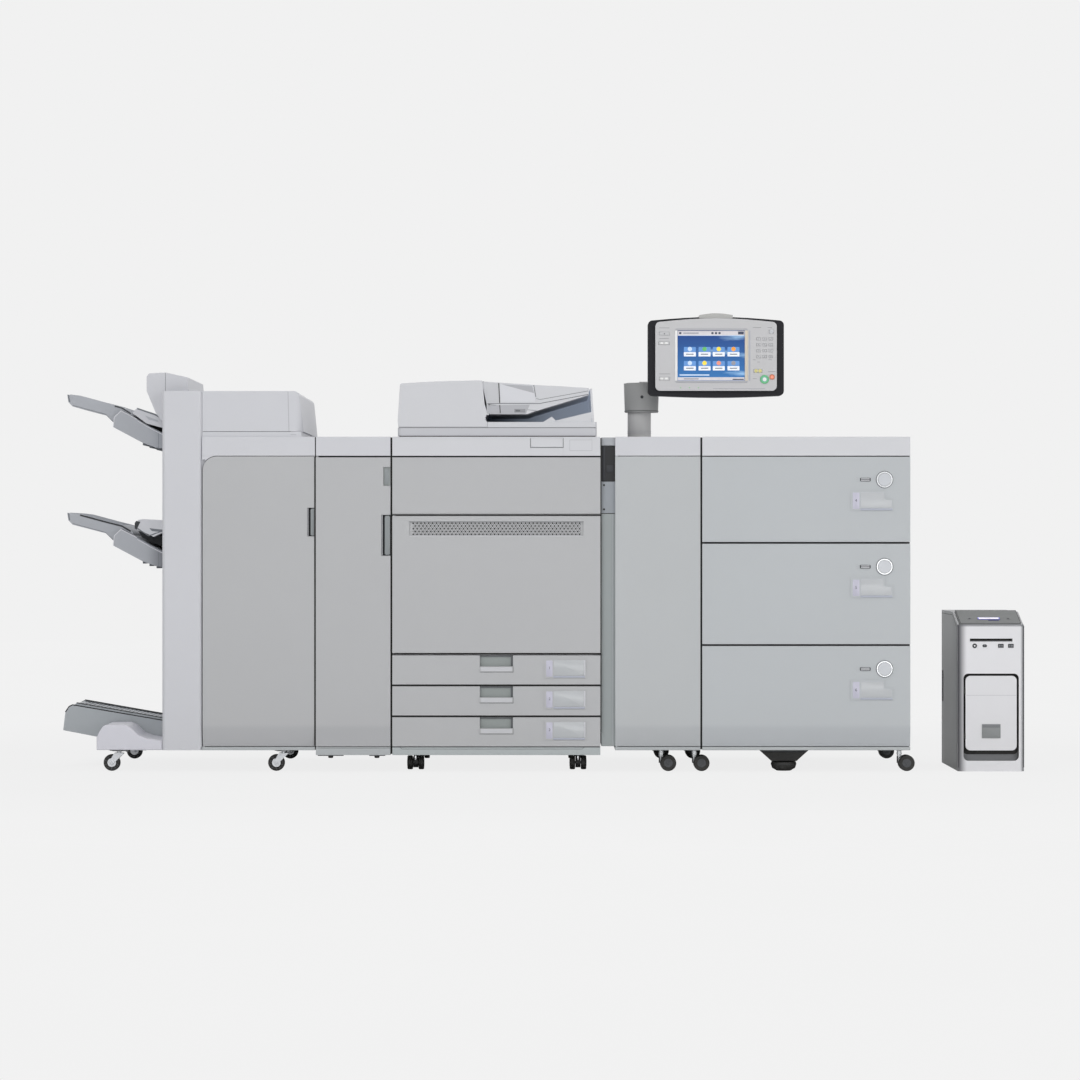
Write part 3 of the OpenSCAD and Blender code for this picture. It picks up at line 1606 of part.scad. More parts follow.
module engine_wheels_rear() {
    engine_wheels(engine_d - engine_caster_y);
}
module relay_wheels() {
    deck_wheels(relay_caster_x);
}
module deck_wheels_left() {
    deck_wheels(deck_casters[0]);
}
module deck_wheels_right() {
    deck_wheels(deck_casters[1]);
}

finisher_frame();
finisher_column();
finisher_hood();
finisher_head();
stapling_units();
booklet_foot();
finisher_door();
upper_tray();
lower_tray();
booklet_tray();
coupler_cabinet();
coupler_door();
transport_rollers();
engine_frame();
toner_bottles();
drum_units();
transfer_unit();
fuser_unit();
toner_cover();
front_cover();
paper_drawer_1();
paper_drawer_2();
paper_drawer_3();
reader_housing();
platen_glass();
power_flap();
feeder_base();
feed_cover();
original_tray();
feed_duct();
relay_cabinet();
relay_door();
console_post();
console_arm();
console_back();
console_bezel();
console_screen();
keypad();
start_key();
stop_key();
deck_cabinet();
deck_foot();
deck_drawer_1();
deck_drawer_2();
deck_drawer_3();
deck_button_1();
deck_button_2();
deck_button_3();
server_case();
server_bezel();
server_door();
server_panel();
caster_forks();
finisher_wheels_left();
finisher_wheels_right();
engine_wheels_front();
engine_wheels_rear();
relay_wheels();
deck_wheels_left();
deck_wheels_right();
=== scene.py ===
import math

import bmesh
import bpy
from mathutils import Matrix, Vector


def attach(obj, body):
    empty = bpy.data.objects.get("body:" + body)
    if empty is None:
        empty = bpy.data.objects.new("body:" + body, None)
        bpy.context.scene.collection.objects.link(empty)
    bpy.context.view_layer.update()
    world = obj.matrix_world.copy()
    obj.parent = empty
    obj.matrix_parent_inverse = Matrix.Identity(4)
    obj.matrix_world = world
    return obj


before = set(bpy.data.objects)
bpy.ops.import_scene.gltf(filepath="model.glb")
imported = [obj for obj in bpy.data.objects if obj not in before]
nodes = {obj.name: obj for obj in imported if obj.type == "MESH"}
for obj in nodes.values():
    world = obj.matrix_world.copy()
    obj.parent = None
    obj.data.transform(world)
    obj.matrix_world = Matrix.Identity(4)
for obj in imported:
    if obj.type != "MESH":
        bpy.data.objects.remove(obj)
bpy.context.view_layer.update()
print("stage: frame loaded")

# The CAD's own line: millimetres from the left face of the delivery column, the front plane and the floor
lineMiddle = 1171.5
depthMiddle = 425.0
# the flat tops of its cabinets
lineTop = 1040


def at(x, y, z):
    return Vector(((x - lineMiddle) / 1000, (y - depthMiddle) / 1000, z / 1000))


def srgb(r, g, b):
    def lin(c):
        c = c / 255
        return c / 12.92 if c <= 0.04045 else ((c + 0.055) / 1.055) ** 2.4
    return (lin(r), lin(g), lin(b), 1.0)


# nodes: each call makes one node and gives its inputs a value or another node's output

def setInputs(tree, node, inputs):
    for key, value in inputs.items():
        if isinstance(value, bpy.types.NodeSocket):
            tree.links.new(value, node.inputs[key])
        else:
            node.inputs[key].default_value = value


def newNode(tree, kind, inputs, **settings):
    node = tree.nodes.new(kind if "Node" in kind else "ShaderNode" + kind)
    for key, value in settings.items():
        setattr(node, key, value)
    setInputs(tree, node, inputs)
    return node.outputs


def maths(tree, operation, *values):
    return newNode(tree, "Math", dict(enumerate(values)), operation=operation)["Value"]


def scaled(tree, value, factor, offset=0.0):
    return maths(tree, "MULTIPLY_ADD", value, factor, offset)


def noise(tree, place, scale, detail=2.0, rough=0.5):
    return newNode(tree, "TexNoise", {"Vector": place, "Scale": scale, "Detail": detail,
            "Roughness": rough})["Fac"]


def ramp(tree, value, low, high, start=0.0, end=1.0, kind="LINEAR"):
    inputs = {"Value": value, "From Min": low, "From Max": high, "To Min": start, "To Max": end}
    return newNode(tree, "MapRange", inputs, interpolation_type=kind)["Result"]


def along(tree, place, axis):
    return newNode(tree, "SeparateXYZ", {"Vector": place})[axis]


def mixColour(tree, factor, a, b, mode="MIX"):
    return newNode(tree, "Mix", {"Factor": factor, "A": a, "B": b}, data_type="RGBA",
            blend_type=mode)["Result"]


def toned(colour, factor):
    return (colour[0] * factor, colour[1] * factor, colour[2] * factor, 1.0)


# shader groups that the finishes share

def newGroup(name, inputs, outputs, kind="Shader"):
    group = bpy.data.node_groups.new(name, kind + "NodeTree")
    for label, kind, value in inputs:
        socket = group.interface.new_socket(name=label, in_out="INPUT", socket_type="NodeSocket" + kind)
        if value is not None:
            socket.default_value = value
    for label, kind in outputs:
        group.interface.new_socket(name=label, in_out="OUTPUT", socket_type="NodeSocket" + kind)
    return group, group.nodes.new("NodeGroupInput").outputs, group.nodes.new("NodeGroupOutput")


def makeMouldGrain():
    # the fine spark texture of moulded covers, as a normal and a fleck mask
    group, given, result = newGroup(
        "mouldGrain", [("Vector", "Vector", None), ("Scale", "Float", 900.0), ("Depth", "Float", 0.12)],
        [("Normal", "Vector"), ("Fleck", "Float")])
    fine = noise(group, given["Vector"], given["Scale"], rough=0.6)
    bump = newNode(group, "Bump", {"Strength": given["Depth"], "Distance": 0.0004, "Height": fine})
    setInputs(group, result, {"Normal": bump["Normal"], "Fleck": ramp(group, fine, 0.35, 0.65)})
    return group


def makeFloorDust():
    # dust that gathers low down and in broad patches, as a mask
    group, given, result = newGroup(
        "floorDust", [("Vector", "Vector", None), ("Height", "Float", 0.25)], [("Mask", "Float")])
    low = ramp(group, along(group, given["Vector"], "Z"), 0.0, given["Height"], 1.0, 0.0)
    patch = noise(group, given["Vector"], 7.0, 6.0)
    setInputs(group, result, {"Mask": maths(group, "MULTIPLY", low, patch)})
    return group


def makeScuff():
    # thin handling marks along one direction, as a mask
    group, given, result = newGroup(
        "scuff", [("Vector", "Vector", None), ("Stretch", "Vector", (40.0, 40.0, 900.0))],
        [("Mask", "Float")])
    drawn = newNode(group, "Mapping", {"Vector": given["Vector"], "Scale": given["Stretch"]})["Vector"]
    setInputs(group, result, {"Mask": ramp(group, noise(group, drawn, 1.0, 5.0), 0.62, 0.78)})
    return group


def makeWindow():
    # one where a point lies inside a rectangle of the upright plane, nought elsewhere
    group, given, result = newGroup(
        "uprightWindow",
        [("Vector", "Vector", None), ("Middle", "Vector", None), ("Half", "Vector", (0.1, 10.0, 0.1))],
        [("Mask", "Float")])
    apart = newNode(group, "VectorMath", {0: given["Vector"], 1: given["Middle"]},
            operation="SUBTRACT")["Vector"]
    reach = newNode(group, "VectorMath", {0: apart}, operation="ABSOLUTE")["Vector"]
    over = newNode(group, "VectorMath", {0: reach, 1: given["Half"]}, operation="SUBTRACT")["Vector"]
    most = maths(group, "MAXIMUM", along(group, over, "X"), along(group, over, "Z"))
    setInputs(group, result, {"Mask": maths(group, "LESS_THAN", most, 0.0)})
    return group


mouldGrain = makeMouldGrain()
floorDust = makeFloorDust()
scuff = makeScuff()
uprightWindow = makeWindow()


# finishes by kind

soilColour = srgb(150, 146, 138)
rubberDust = srgb(120, 118, 112)


def startFinish(name):
    mat = bpy.data.materials.new(name)
    mat.use_nodes = True
    tree = mat.node_tree
    return mat, tree, tree.nodes["Principled BSDF"], newNode(tree, "TexCoord", {})["Object"]


def mouldedFinish(name, colour, rough=0.46, grain=900.0, depth=0.12, dust=0.25, spec=0.45, wash=(), glow=0.0):
    # injection-moulded cover: spark grain, faint tone patches, dust near the floor
    mat, tree, shader, place = startFinish(name)
    grained = {"Vector": place, "Scale": grain, "Depth": depth}
    skin = newNode(tree, "Group", grained, node_tree=mouldGrain)
    base = mixColour(tree, noise(tree, place, 2.3, 3.0), toned(colour, 0.975), toned(colour, 1.025))
    base = mixColour(tree, scaled(tree, skin["Fleck"], 0.05), base, toned(colour, 0.82))
    for axis, start, end, tint in wash:
        # a slow change of tone along one axis: tinted at its start, plain from its end; on the trays, the
        # server and the delivery cavity it is painted shade
        share = ramp(tree, along(tree, place, axis), start, end, kind="SMOOTHSTEP")
        base = mixColour(tree, share, mixColour(tree, 1.0, base, tint, "MULTIPLY"), base)
    soil = newNode(tree, "Group", {"Vector": place, "Height": dust}, node_tree=floorDust)["Mask"]
    base = mixColour(tree, scaled(tree, soil, 0.08), base, soilColour)
    marks = newNode(tree, "Group", {"Vector": place}, node_tree=scuff)["Mask"]
    setInputs(tree, shader, {"Base Color": base, "Roughness": scaled(tree, marks, 0.1, rough),
                             "Normal": skin["Normal"], "Specular IOR Level": spec})
    if glow:
        # light that soft boxes throw into a deep recess
        setInputs(tree, shader, {"Emission Color": base, "Emission Strength": glow})
    return mat


def paintedFinish(name, colour, rough=0.5):
    # powder-coated sheet: a soft orange-peel and slow tone patches
    return mouldedFinish(name, colour, rough, grain=420.0, depth=0.08, spec=0.4)


def metalFinish(name, colour, rough=0.32, stretch=(30.0, 30.0, 1400.0), tint=0.25):
    # brushed or plated metal with drawn lines and darker soil in patches
    mat, tree, shader, place = startFinish(name)
    lines = newNode(tree, "Group", {"Vector": place, "Stretch": stretch}, node_tree=scuff)["Mask"]
    cloud = noise(tree, place, 28.0, 5.0)
    base = mixColour(tree, cloud, toned(colour, 1 - tint), toned(colour, 1 + tint * 0.4))
    base = mixColour(tree, scaled(tree, lines, 0.35), base, toned(colour, 0.6))
    bump = newNode(tree, "Bump", {"Strength": 0.15, "Distance": 0.0003, "Height": lines})
    setInputs(tree, shader, {"Base Color": base, "Roughness": scaled(tree, cloud, 0.25, rough - 0.1),
                             "Normal": bump["Normal"], "Metallic": 1.0})
    return mat


def rubberFinish(name, colour, rough=0.6, grain=350.0):
    # dull rubber: pitted skin and pale dust worn into it
    mat, tree, shader, place = startFinish(name)
    grained = {"Vector": place, "Scale": grain, "Depth": 0.25}
    skin = newNode(tree, "Group", grained, node_tree=mouldGrain)
    cloud = noise(tree, place, 40.0, 6.0)
    dusty = mixColour(tree, scaled(tree, cloud, 0.22), colour, rubberDust)
    base = mixColour(tree, scaled(tree, skin["Fleck"], 0.15), dusty, toned(colour, 0.5))
    setInputs(tree, shader, {"Base Color": base, "Roughness": scaled(tree, cloud, 0.3, rough - 0.15),
                             "Normal": skin["Normal"]})
    return mat


def glossFinish(name, colour, rough=0.18, coat=0.3):
    # smooth gloss plastic with faint wiping marks
    mat, tree, shader, place = startFinish(name)
    cloud = noise(tree, place, 16.0, 6.0)
    base = mixColour(tree, cloud, toned(colour, 0.94), toned(colour, 1.06))
    setInputs(tree, shader, {"Base Color": base, "Roughness": scaled(tree, cloud, 0.16, rough - 0.06),
                             "Coat Weight": coat})
    return mat


def glassFinish(name, colour):
    # clear glass over a dark bay, with a faint film of wiping marks
    mat, tree, shader, place = startFinish(name)
    film = noise(tree, place, 9.0, 7.0)
    setInputs(tree, shader, {"Base Color": colour, "Roughness": scaled(tree, film, 0.1, 0.02),
                             "Transmission Weight": 0.6})
    return mat


def lampFinish(name, colour, strength):
    # small lit element in slightly uneven tones
    mat, tree, shader, place = startFinish(name)
    tone = mixColour(tree, noise(tree, place, 60.0), toned(colour, 0.85), toned(colour, 1.1))
    setInputs(tree, shader, {"Base Color": tone, "Emission Color": tone, "Emission Strength": strength,
                             "Roughness": 0.3})
    return mat


def ventedFinish(name, colour, vents, seams, pitch):
    # painted sheet with louvres inside the vents drawn as dark slots, which are painted shade, and thin dark
    # seams
    mat = paintedFinish(name, colour)
    tree = mat.node_tree
    shader = tree.nodes["Principled BSDF"]
    place = newNode(tree, "TexCoord", {})["Object"]
    slats = maths(tree, "FRACT", scaled(tree, along(tree, place, "Z"), 1 / pitch))
    slot = maths(tree, "LESS_THAN", slats, 0.45)
    base = shader.inputs["Base Color"].links[0].from_socket
    for middle, half in vents + seams:
        window = {"Vector": place, "Middle": middle, "Half": half}
        mask = newNode(tree, "Group", window, node_tree=uprightWindow)["Mask"]
        if (middle, half) in vents:
            mask = maths(tree, "MULTIPLY", mask, slot)
        base = mixColour(tree, scaled(tree, mask, 0.85), base, toned(colour, 0.12))
    setInputs(tree, shader, {"Base Color": base})
    return mat


def screenFinish(name, deep, bright, pale):
    # lit display: a blue that lightens downwards, with soft slanting streaks of light
    mat, tree, shader, place = startFinish(name)
    fall = ramp(tree, along(tree, place, "Z"), 1.375, 1.225)
    across = ramp(tree, along(tree, place, "X"), 0.47, 0.63)
    slant = {"Vector": place, "Rotation": (0.0, math.radians(38), 0.0), "Scale": (7.0, 1.0, 34.0)}
    streaks = noise(tree, newNode(tree, "Mapping", slant)["Vector"], 1.0, 4.0)
    light = maths(tree, "MULTIPLY", ramp(tree, streaks, 0.5, 0.72), across)
    base = mixColour(tree, light, mixColour(tree, scaled(tree, fall, 0.75), deep, bright), pale)
    setInputs(tree, shader, {"Base Color": base, "Emission Color": base, "Emission Strength": 0.55,
                             "Roughness": 0.3})
    return mat


# every finish: plastics, rubbers and films by colour and roughness, lights by colour and strength

plastics = {
    "shell": (204, 205, 210, 0.42), "shellLow": (204, 205, 210, 0.42), "shellEngine": (206, 207, 211, 0.42),
    "shellDeck": (208, 209, 213, 0.42), "hood": (203, 204, 209, 0.4), "feeder": (205, 206, 210, 0.4),
    "door": (181, 182, 184, 0.45), "doorEngine": (181, 182, 184, 0.45), "doorRelay": (184, 187, 189, 0.45),
    "doorDeck": (184, 188, 191, 0.45), "tray": (170, 173, 179, 0.5), "trayLow": (170, 173, 179, 0.5),
    "bookletTray": (170, 175, 179, 0.5), "footCover": (212, 212, 220, 0.45), "ductLow": (152, 158, 159, 0.5),
    "ductDark": (27, 28, 30, 0.55), "ductMid": (148, 153, 159, 0.5), "ductCap": (168, 171, 176, 0.5),
    "collar": (150, 151, 151, 0.5), "post": (182, 182, 182, 0.5), "charcoal": (24, 24, 29, 0.5),
    "consoleFace": (197, 197, 199, 0.42), "cap": (180, 180, 178, 0.45), "inner": (92, 95, 98, 0.55),
    # the liner, seam, soft seam and server sill colours also serve as painted shade, and the rim, light grip
    # and white pad colours as painted highlights and painted light
    "toner": (168, 160, 130, 0.4), "liner": (46, 48, 52, 0.6), "rim": (211, 212, 217, 0.42),
    "grip": (140, 145, 147, 0.5), "gripLight": (196, 197, 201, 0.45), "recess": (150, 156, 155, 0.55),
    "seam": (108, 111, 114, 0.6), "softSeam": (176, 177, 182, 0.5), "trayRib": (176, 179, 185, 0.5),
    "trayShade": (112, 116, 122, 0.55), "cavity": (122, 130, 143, 0.6), "badge": (134, 137, 138, 0.5),
    "serverCase": (170, 172, 171, 0.42), "serverFace": (223, 223, 226, 0.4),
    "serverDoor": (219, 219, 222, 0.4),
    "serverPanel": (122, 124, 124, 0.6), "casterHood": (30, 31, 34, 0.45), "hub": (70, 72, 76, 0.5),
    "padWhite": (236, 236, 236, 0.5), "beige": (214, 203, 186, 0.5), "lever": (70, 110, 170, 0.4),
    "leverGreen": (60, 140, 100, 0.4), "tonerYellow": (226, 200, 60, 0.4),
    "tonerMagenta": (190, 50, 110, 0.4),
    "tonerCyan": (40, 140, 190, 0.4), "tonerBlack": (36, 36, 38, 0.4),
}
lowTone = ("Z", 0.132, 0.152, (0.91, 0.91, 0.92, 1))
skirtTone = ("Z", 0.0785, 0.0795, (0.72, 0.75, 0.73, 1))
variants = {
    "shellLow": {"wash": [skirtTone]}, "shellDeck": {"wash": [skirtTone]},
    "shellEngine": {"wash": [("Z", 0.0785, 0.0795, (0.7, 0.75, 0.73, 1))]},
    "feeder": {"wash": [("Z", 1.0688, 1.0704, (0.9, 0.9, 0.91, 1))]},
    "door": {"wash": [lowTone]}, "doorRelay": {"wash": [lowTone]}, "doorDeck": {"wash": [lowTone]},
    # the trays darken towards their root at the column: painted shade
    "tray": {"depth": 0.2, "wash": [("X", -1.172, -1.232, (0.72, 0.73, 0.75, 1))]},
    "trayLow": {"depth": 0.2, "wash": [("X", -1.172, -1.25, (0.4, 0.4, 0.42, 1))]},
    "bookletTray": {"depth": 0.2}, "casterHood": {"depth": 0.2}, "charcoal": {"depth": 0.2, "spec": 0.25},
    # the server case darker towards its front edge and lower down: painted shade
    "serverCase": {"grain": 420.0, "depth": 0.08, "wash": [("Y", -0.385, -0.16, (0.55, 0.56, 0.57, 1)),
                                                           ("Z", 0.0, 0.3, (0.86, 0.86, 0.87, 1))]},
    # the server face darker at its rounded left and right edges and just under its top: painted shade
    "serverFace": {"wash": [("X", 1.3045, 1.331, (0.24, 0.24, 0.25, 1)),
            ("X", 1.506, 1.493, (0.26, 0.27, 0.28, 1)),
                            ("Z", 0.456, 0.447, (0.62, 0.62, 0.64, 1))]},
    "serverPanel": {"spec": 0.15},
    # the cavity glows as painted light and darkens to the left as painted shade
    "cavity": {"glow": 0.8, "wash": [("X", -0.17, 0.09, (0.04, 0.045, 0.05, 1))]},
}
cleanLooks = ("padWhite", "beige", "lever", "leverGreen", "tonerYellow", "tonerMagenta", "tonerCyan",
        "tonerBlack")
variants.update({look: {"dust": 0.05} for look in cleanLooks})
rubbers = {
    "roller": (44, 44, 47, 0.6), "key": (208, 209, 212, 0.55), "startKey": (118, 196, 170, 0.5),
    "stopKey": (226, 132, 96, 0.5), "keyYellow": (222, 214, 140, 0.5), "wheel": (12, 12, 13, 0.6),
    # this black serves real seals, gaskets and black parts, and also painted shade in gaps, holes, slots and
    # recesses
    "sealBlack": (14, 14, 15, 0.75),
}
films = {
    "button": (205, 207, 210, 0.3, 0.3), "buttonFace": (198, 201, 206, 0.28, 0.3),
    "labelCell": (193, 192, 207, 0.3, 0.2), "labelWindow": (187, 190, 193, 0.22, 0.4),
    "labelBlue": (170, 174, 187, 0.3, 0.2),
}
lights = {
    "litStrip": (196, 192, 196, 0.35), "litPanel": (92, 138, 196, 0.35), "litPale": (186, 204, 224, 0.35),
    "litTile": (222, 226, 234, 0.35), "litInk": (60, 66, 84, 0.2), "litMid": (140, 140, 150, 0.3),
    "litGreen": (96, 178, 96, 0.3), "litYellow": (232, 206, 70, 0.35), "litOrange": (228, 150, 60, 0.35),
    "litRose": (222, 140, 118, 0.3), "litBlue": (56, 60, 170, 0.4),
}
engineVents = [((-0.28, 0.0, 0.72), (0.1, 10.0, 0.12)), ((0.02, 0.0, 0.72), (0.1, 10.0, 0.12)),
               ((-0.13, 0.0, 0.24), (0.22, 10.0, 0.06))]
engineSeamLines = [((-0.135, 0.0, 0.96), (0.31, 10.0, 0.0008)), ((-0.135, 0.0, 0.42), (0.31, 10.0, 0.0008)),
                   ((-0.135, 0.0, 0.09), (0.31, 10.0, 0.0008)), ((-0.135, 0.0, 0.69), (0.0008, 10.0, 0.27))]
finishes = {
    "sheet": paintedFinish("paintedSheet", srgb(196, 197, 201)),
    "engineRear": ventedFinish("engineRearSheet", srgb(206, 207, 211), engineVents, engineSeamLines, 0.0095),
    "glass": glassFinish("platenGlass", srgb(196, 206, 208)),
    "screen": screenFinish("screenGlass", srgb(8, 46, 108), srgb(44, 108, 164), srgb(150, 186, 216)),
    "zinc": metalFinish("zincPlate", srgb(214, 216, 219), rough=0.42, tint=0.15),
    "chrome": metalFinish("chromePlate", srgb(226, 228, 230), rough=0.22, tint=0.12),
    "serverTop": metalFinish("serverTopMetal", srgb(132, 133, 135), rough=0.5, stretch=(6.0, 1200.0, 40.0)),
    "serverSill": paintedFinish("serverSillPaint", srgb(120, 122, 125)),
    "ink": rubberFinish("printedInk", srgb(70, 72, 84), grain=900.0),
    "inkSoft": rubberFinish("faintInk", srgb(150, 151, 156), grain=900.0),
}
for look, (*colour, rough) in plastics.items():
    finishes[look] = mouldedFinish(look + "Plastic", srgb(*colour), rough, **variants.get(look, {}))
for look, (*colour, rough) in rubbers.items():
    finishes[look] = rubberFinish(look + "Rubber", srgb(*colour), rough)
for look, (*colour, rough, coat) in films.items():
    finishes[look] = glossFinish(look + "Film", srgb(*colour), rough, coat)
for look, (*colour, strength) in lights.items():
    finishes[look] = lampFinish(look + "Light", srgb(*colour), strength)
print("stage: finishes made")


# the CAD nodes keep their solids and get a finish and soft edges of a width in millimetres

def easeEdges(obj, width):
    for face in obj.data.polygons:
        face.use_smooth = True
    weld = obj.modifiers.new("weld", "WELD")
    weld.merge_threshold = 0.00001
    bevel = obj.modifiers.new("softEdges", "BEVEL")
    bevel.width = width
    bevel.segments = 2
    bevel.limit_method = "ANGLE"
    bevel.angle_limit = math.radians(35)
    bevel.harden_normals = True
    bevel.use_clamp_overlap = True
    even = obj.modifiers.new("evenNormals", "WEIGHTED_NORMAL")
    even.weight = 90


nodeLooks = {
    "shell": {1.5: "finisher_column"},
    "shellLow": {1.2: "finisher_frame coupler_cabinet relay_cabinet"},
    "shellEngine": {1.2: "engine_frame", 1: "reader_housing", 0.6: "power_flap"},
    "shellDeck": {1.2: "deck_cabinet"},
    "hood": {3: "finisher_hood finisher_head"},
    "footCover": {3: "booklet_foot"},
    "door": {1: "finisher_door coupler_door"},
    "doorEngine": {1: "toner_cover", 0.8: "paper_drawer_1 paper_drawer_2 paper_drawer_3", 0.6: "front_cover"},
    "doorRelay": {1: "relay_door"},
    "doorDeck": {1: "deck_drawer_1 deck_drawer_2 deck_drawer_3"},
    "tray": {1: "upper_tray"},
    "trayLow": {1: "lower_tray"},
    "bookletTray": {1: "booklet_tray"},
    "inner": {1: "stapling_units drum_units transfer_unit fuser_unit"},
    "roller": {0.5: "transport_rollers"},
    "toner": {0.8: "toner_bottles"},
    "glass": {0.5: "platen_glass"},
    "feeder": {1.5: "feeder_base", 2: "feed_cover", 1: "original_tray"},
    "ductLow": {1: "feed_duct"},
    "post": {1: "console_post"},
    "collar": {1.5: "console_arm"},
    "charcoal": {3: "console_back"},
    "consoleFace": {1: "console_bezel"},
    "screen": {0.5: "console_screen"},
    "key": {0.5: "keypad"},
    "startKey": {1: "start_key"},
    "stopKey": {1: "stop_key"},
    "button": {1.2: "deck_button_1 deck_button_2 deck_button_3"},
    "serverCase": {1.2: "server_case"},
    "serverFace": {1: "server_bezel"},
    "serverDoor": {1: "server_door"},
    "serverPanel": {1: "server_panel"},
    "zinc": {0.6: "caster_forks"},
    "wheel": {2: "deck_foot", 1: "finisher_wheels_left finisher_wheels_right engine_wheels_front "
                                 "engine_wheels_rear relay_wheels deck_wheels_left deck_wheels_right"},
}
for look, widths in nodeLooks.items():
    for width, names in widths.items():
        for name in names.split():
            obj = nodes[name]
            obj.data.materials.clear()
            obj.data.materials.append(finishes[look])
            easeEdges(obj, width / 1000)
print("stage: nodes finished")

# how the small pieces are made: outlines on a seat, turned profiles, rows and rings
# a seat is a surface of the line: it turns (along, off the surface, up or inwards) into x, y, z

def atFront(y):
    return lambda u, w, v: (u, y - w, v)


def atBack(y):
    return lambda u, w, v: (u, y + w, v)


def atLeft(x):
    return lambda u, w, v: (x - w, u, v)


def atRight(x):
    return lambda u, w, v: (x + w, u, v)


def atTop(z):
    return lambda u, w, v: (u, v, z + w)


def atUnder(z):
    return lambda u, w, v: (u, v, z - w)


def rect(u0, v0, u1, v1, r=0.0, steps=5):
    if not r:
        return [(u0, v0), (u1, v0), (u1, v1), (u0, v1)]
    points = []
    for cu, cv, start in ((u0 + r, v0 + r, 180), (u1 - r, v0 + r, 270), (u1 - r, v1 - r, 0),
            (u0 + r, v1 - r, 90)):
        for k in range(steps + 1):
            a = math.radians(start + 90 * k / steps)
            points.append((cu + r * math.cos(a), cv + r * math.sin(a)))
    return points


def strip(points, width):
    # a line of even width along points, as one outline with mitred corners
    sides = ([], [])
    for k, point in enumerate(points):
        before = Vector(points[max(k - 1, 0)])
        after = Vector(points[min(k + 1, len(points) - 1)])
        here = Vector(point)
        first = (here - before).normalized() if k else (after - here).normalized()
        second = (after - here).normalized() if k < len(points) - 1 else first
        across = Vector((-(first + second).y, (first + second).x)).normalized()
        reach = width / 2 / max(across.dot(Vector((-first.y, first.x))), 0.3)
        sides[0].append(tuple(here + across * reach))
        sides[1].append(tuple(here - across * reach))
    return sides[0] + sides[1][::-1]


def prism(bm, seat, outline, w0, w1, slot=0, soft=0.0):
    low = [bm.verts.new(seat(u, w0, v)) for u, v in outline]
    high = [bm.verts.new(seat(u, w1, v)) for u, v in outline]
    count = len(outline)
    faces = [bm.faces.new(low[::-1]), bm.faces.new(high)]
    for k in range(count):
        j = (k + 1) % count
        faces.append(bm.faces.new((low[k], low[j], high[j], high[k])))
    for face in faces:
        face.material_index = slot
    if soft:
        edges = list(faces[1].edges)
        if count == 4:
            edges += [e for v in high for e in v.link_edges if e not in edges]
        bmesh.ops.bevel(bm, geom=edges, offset=soft, segments=2, profile=0.5, affect="EDGES",
                        clamp_overlap=True)


def prisms(bm, seat, forms):
    # several on one seat, each as (outline, w0, w1, slot, soft)
    for form in forms:
        prism(bm, seat, *form)


def turned(bm, seat, u, v, profile, slot=0, steps=28):
    # a profile of (radius, height over the seat) turned about u, v
    rings = []
    for r, w in profile:
        if r:
            turns = [2 * math.pi * k / steps for k in range(steps)]
            rings.append([bm.verts.new(seat(u + r * math.cos(a), w, v + r * math.sin(a))) for a in turns])
        else:
            rings.append([bm.verts.new(seat(u, w, v))])
    for a, b in zip(rings, rings[1:]):
        for k in range(steps):
            j = (k + 1) % steps
            corners = [a[k % len(a)], a[j % len(a)], b[j % len(b)], b[k % len(b)]]
            corners = list(dict.fromkeys(corners))
            if len(corners) > 2:
                bm.faces.new(corners).material_index = slot


def disc(r, w0, w1, edge=0.6):
    return [(0, w0), (r, w0), (r, w1 - edge), (r - edge, w1), (0, w1)]


def hoop(r0, r1, w0, w1, edge=0.5):
    return [(r0, w0), (r1, w0), (r1, w1 - edge), (r1 - edge, w1), (r0 + edge, w1), (r0, w1 - edge), (r0, w0)]


def toMesh(bm, name, placed=True):
    bmesh.ops.recalc_face_normals(bm, faces=bm.faces)
    for v in bm.verts:
        v.co = at(*v.co) if placed else v.co / 1000
    mesh = bpy.data.meshes.new(name)
    bm.to_mesh(mesh)
    bm.free()
    return mesh


def showPiece(name, mesh, body, angle=32):
    mesh.polygons.foreach_set("use_smooth", [True] * len(mesh.polygons))
    mesh.set_sharp_from_angle(angle=math.radians(angle))
    piece = bpy.data.objects.new(name, mesh)
    bpy.context.scene.collection.objects.link(piece)
    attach(piece, body)
    return piece


def settle(bm, name, body, looks):
    mesh = toMesh(bm, name)
    for look in looks.split():
        mesh.materials.append(finishes[look])
    return showPiece(name, mesh, body)


def newSpread(name, inputs):
    inputs = [("Piece", "Geometry", None)] + inputs + [("Finish", "Material", None)]
    return newGroup(name, inputs, [("Pieces", "Geometry")], "Geometry")


def endSpread(tree, given, result, instances):
    real = newNode(tree, "GeometryNodeRealizeInstances", {"Geometry": instances})["Geometry"]
    skin = newNode(tree, "GeometryNodeSetMaterial", {"Geometry": real, "Material": given["Finish"]})
    setInputs(tree, result, {"Pieces": skin["Geometry"]})
    return tree


def makeRows():
    # the piece again in rows and columns, each a step from the last
    tree, given, result = newSpread("rowsAndColumns", [
        ("Columns", "Int", None), ("Column Step", "Vector", None), ("Rows", "Int", None),
        ("Row Step", "Vector", None)])
    held = given["Piece"]
    for count, step in (("Columns", "Column Step"), ("Rows", "Row Step")):
        line = newNode(tree, "GeometryNodeMeshLine", {"Count": given[count], "Offset": given[step]})["Mesh"]
        held = newNode(tree, "GeometryNodeInstanceOnPoints", {"Points": line, "Instance": held})["Instances"]
    return endSpread(tree, given, result, held)


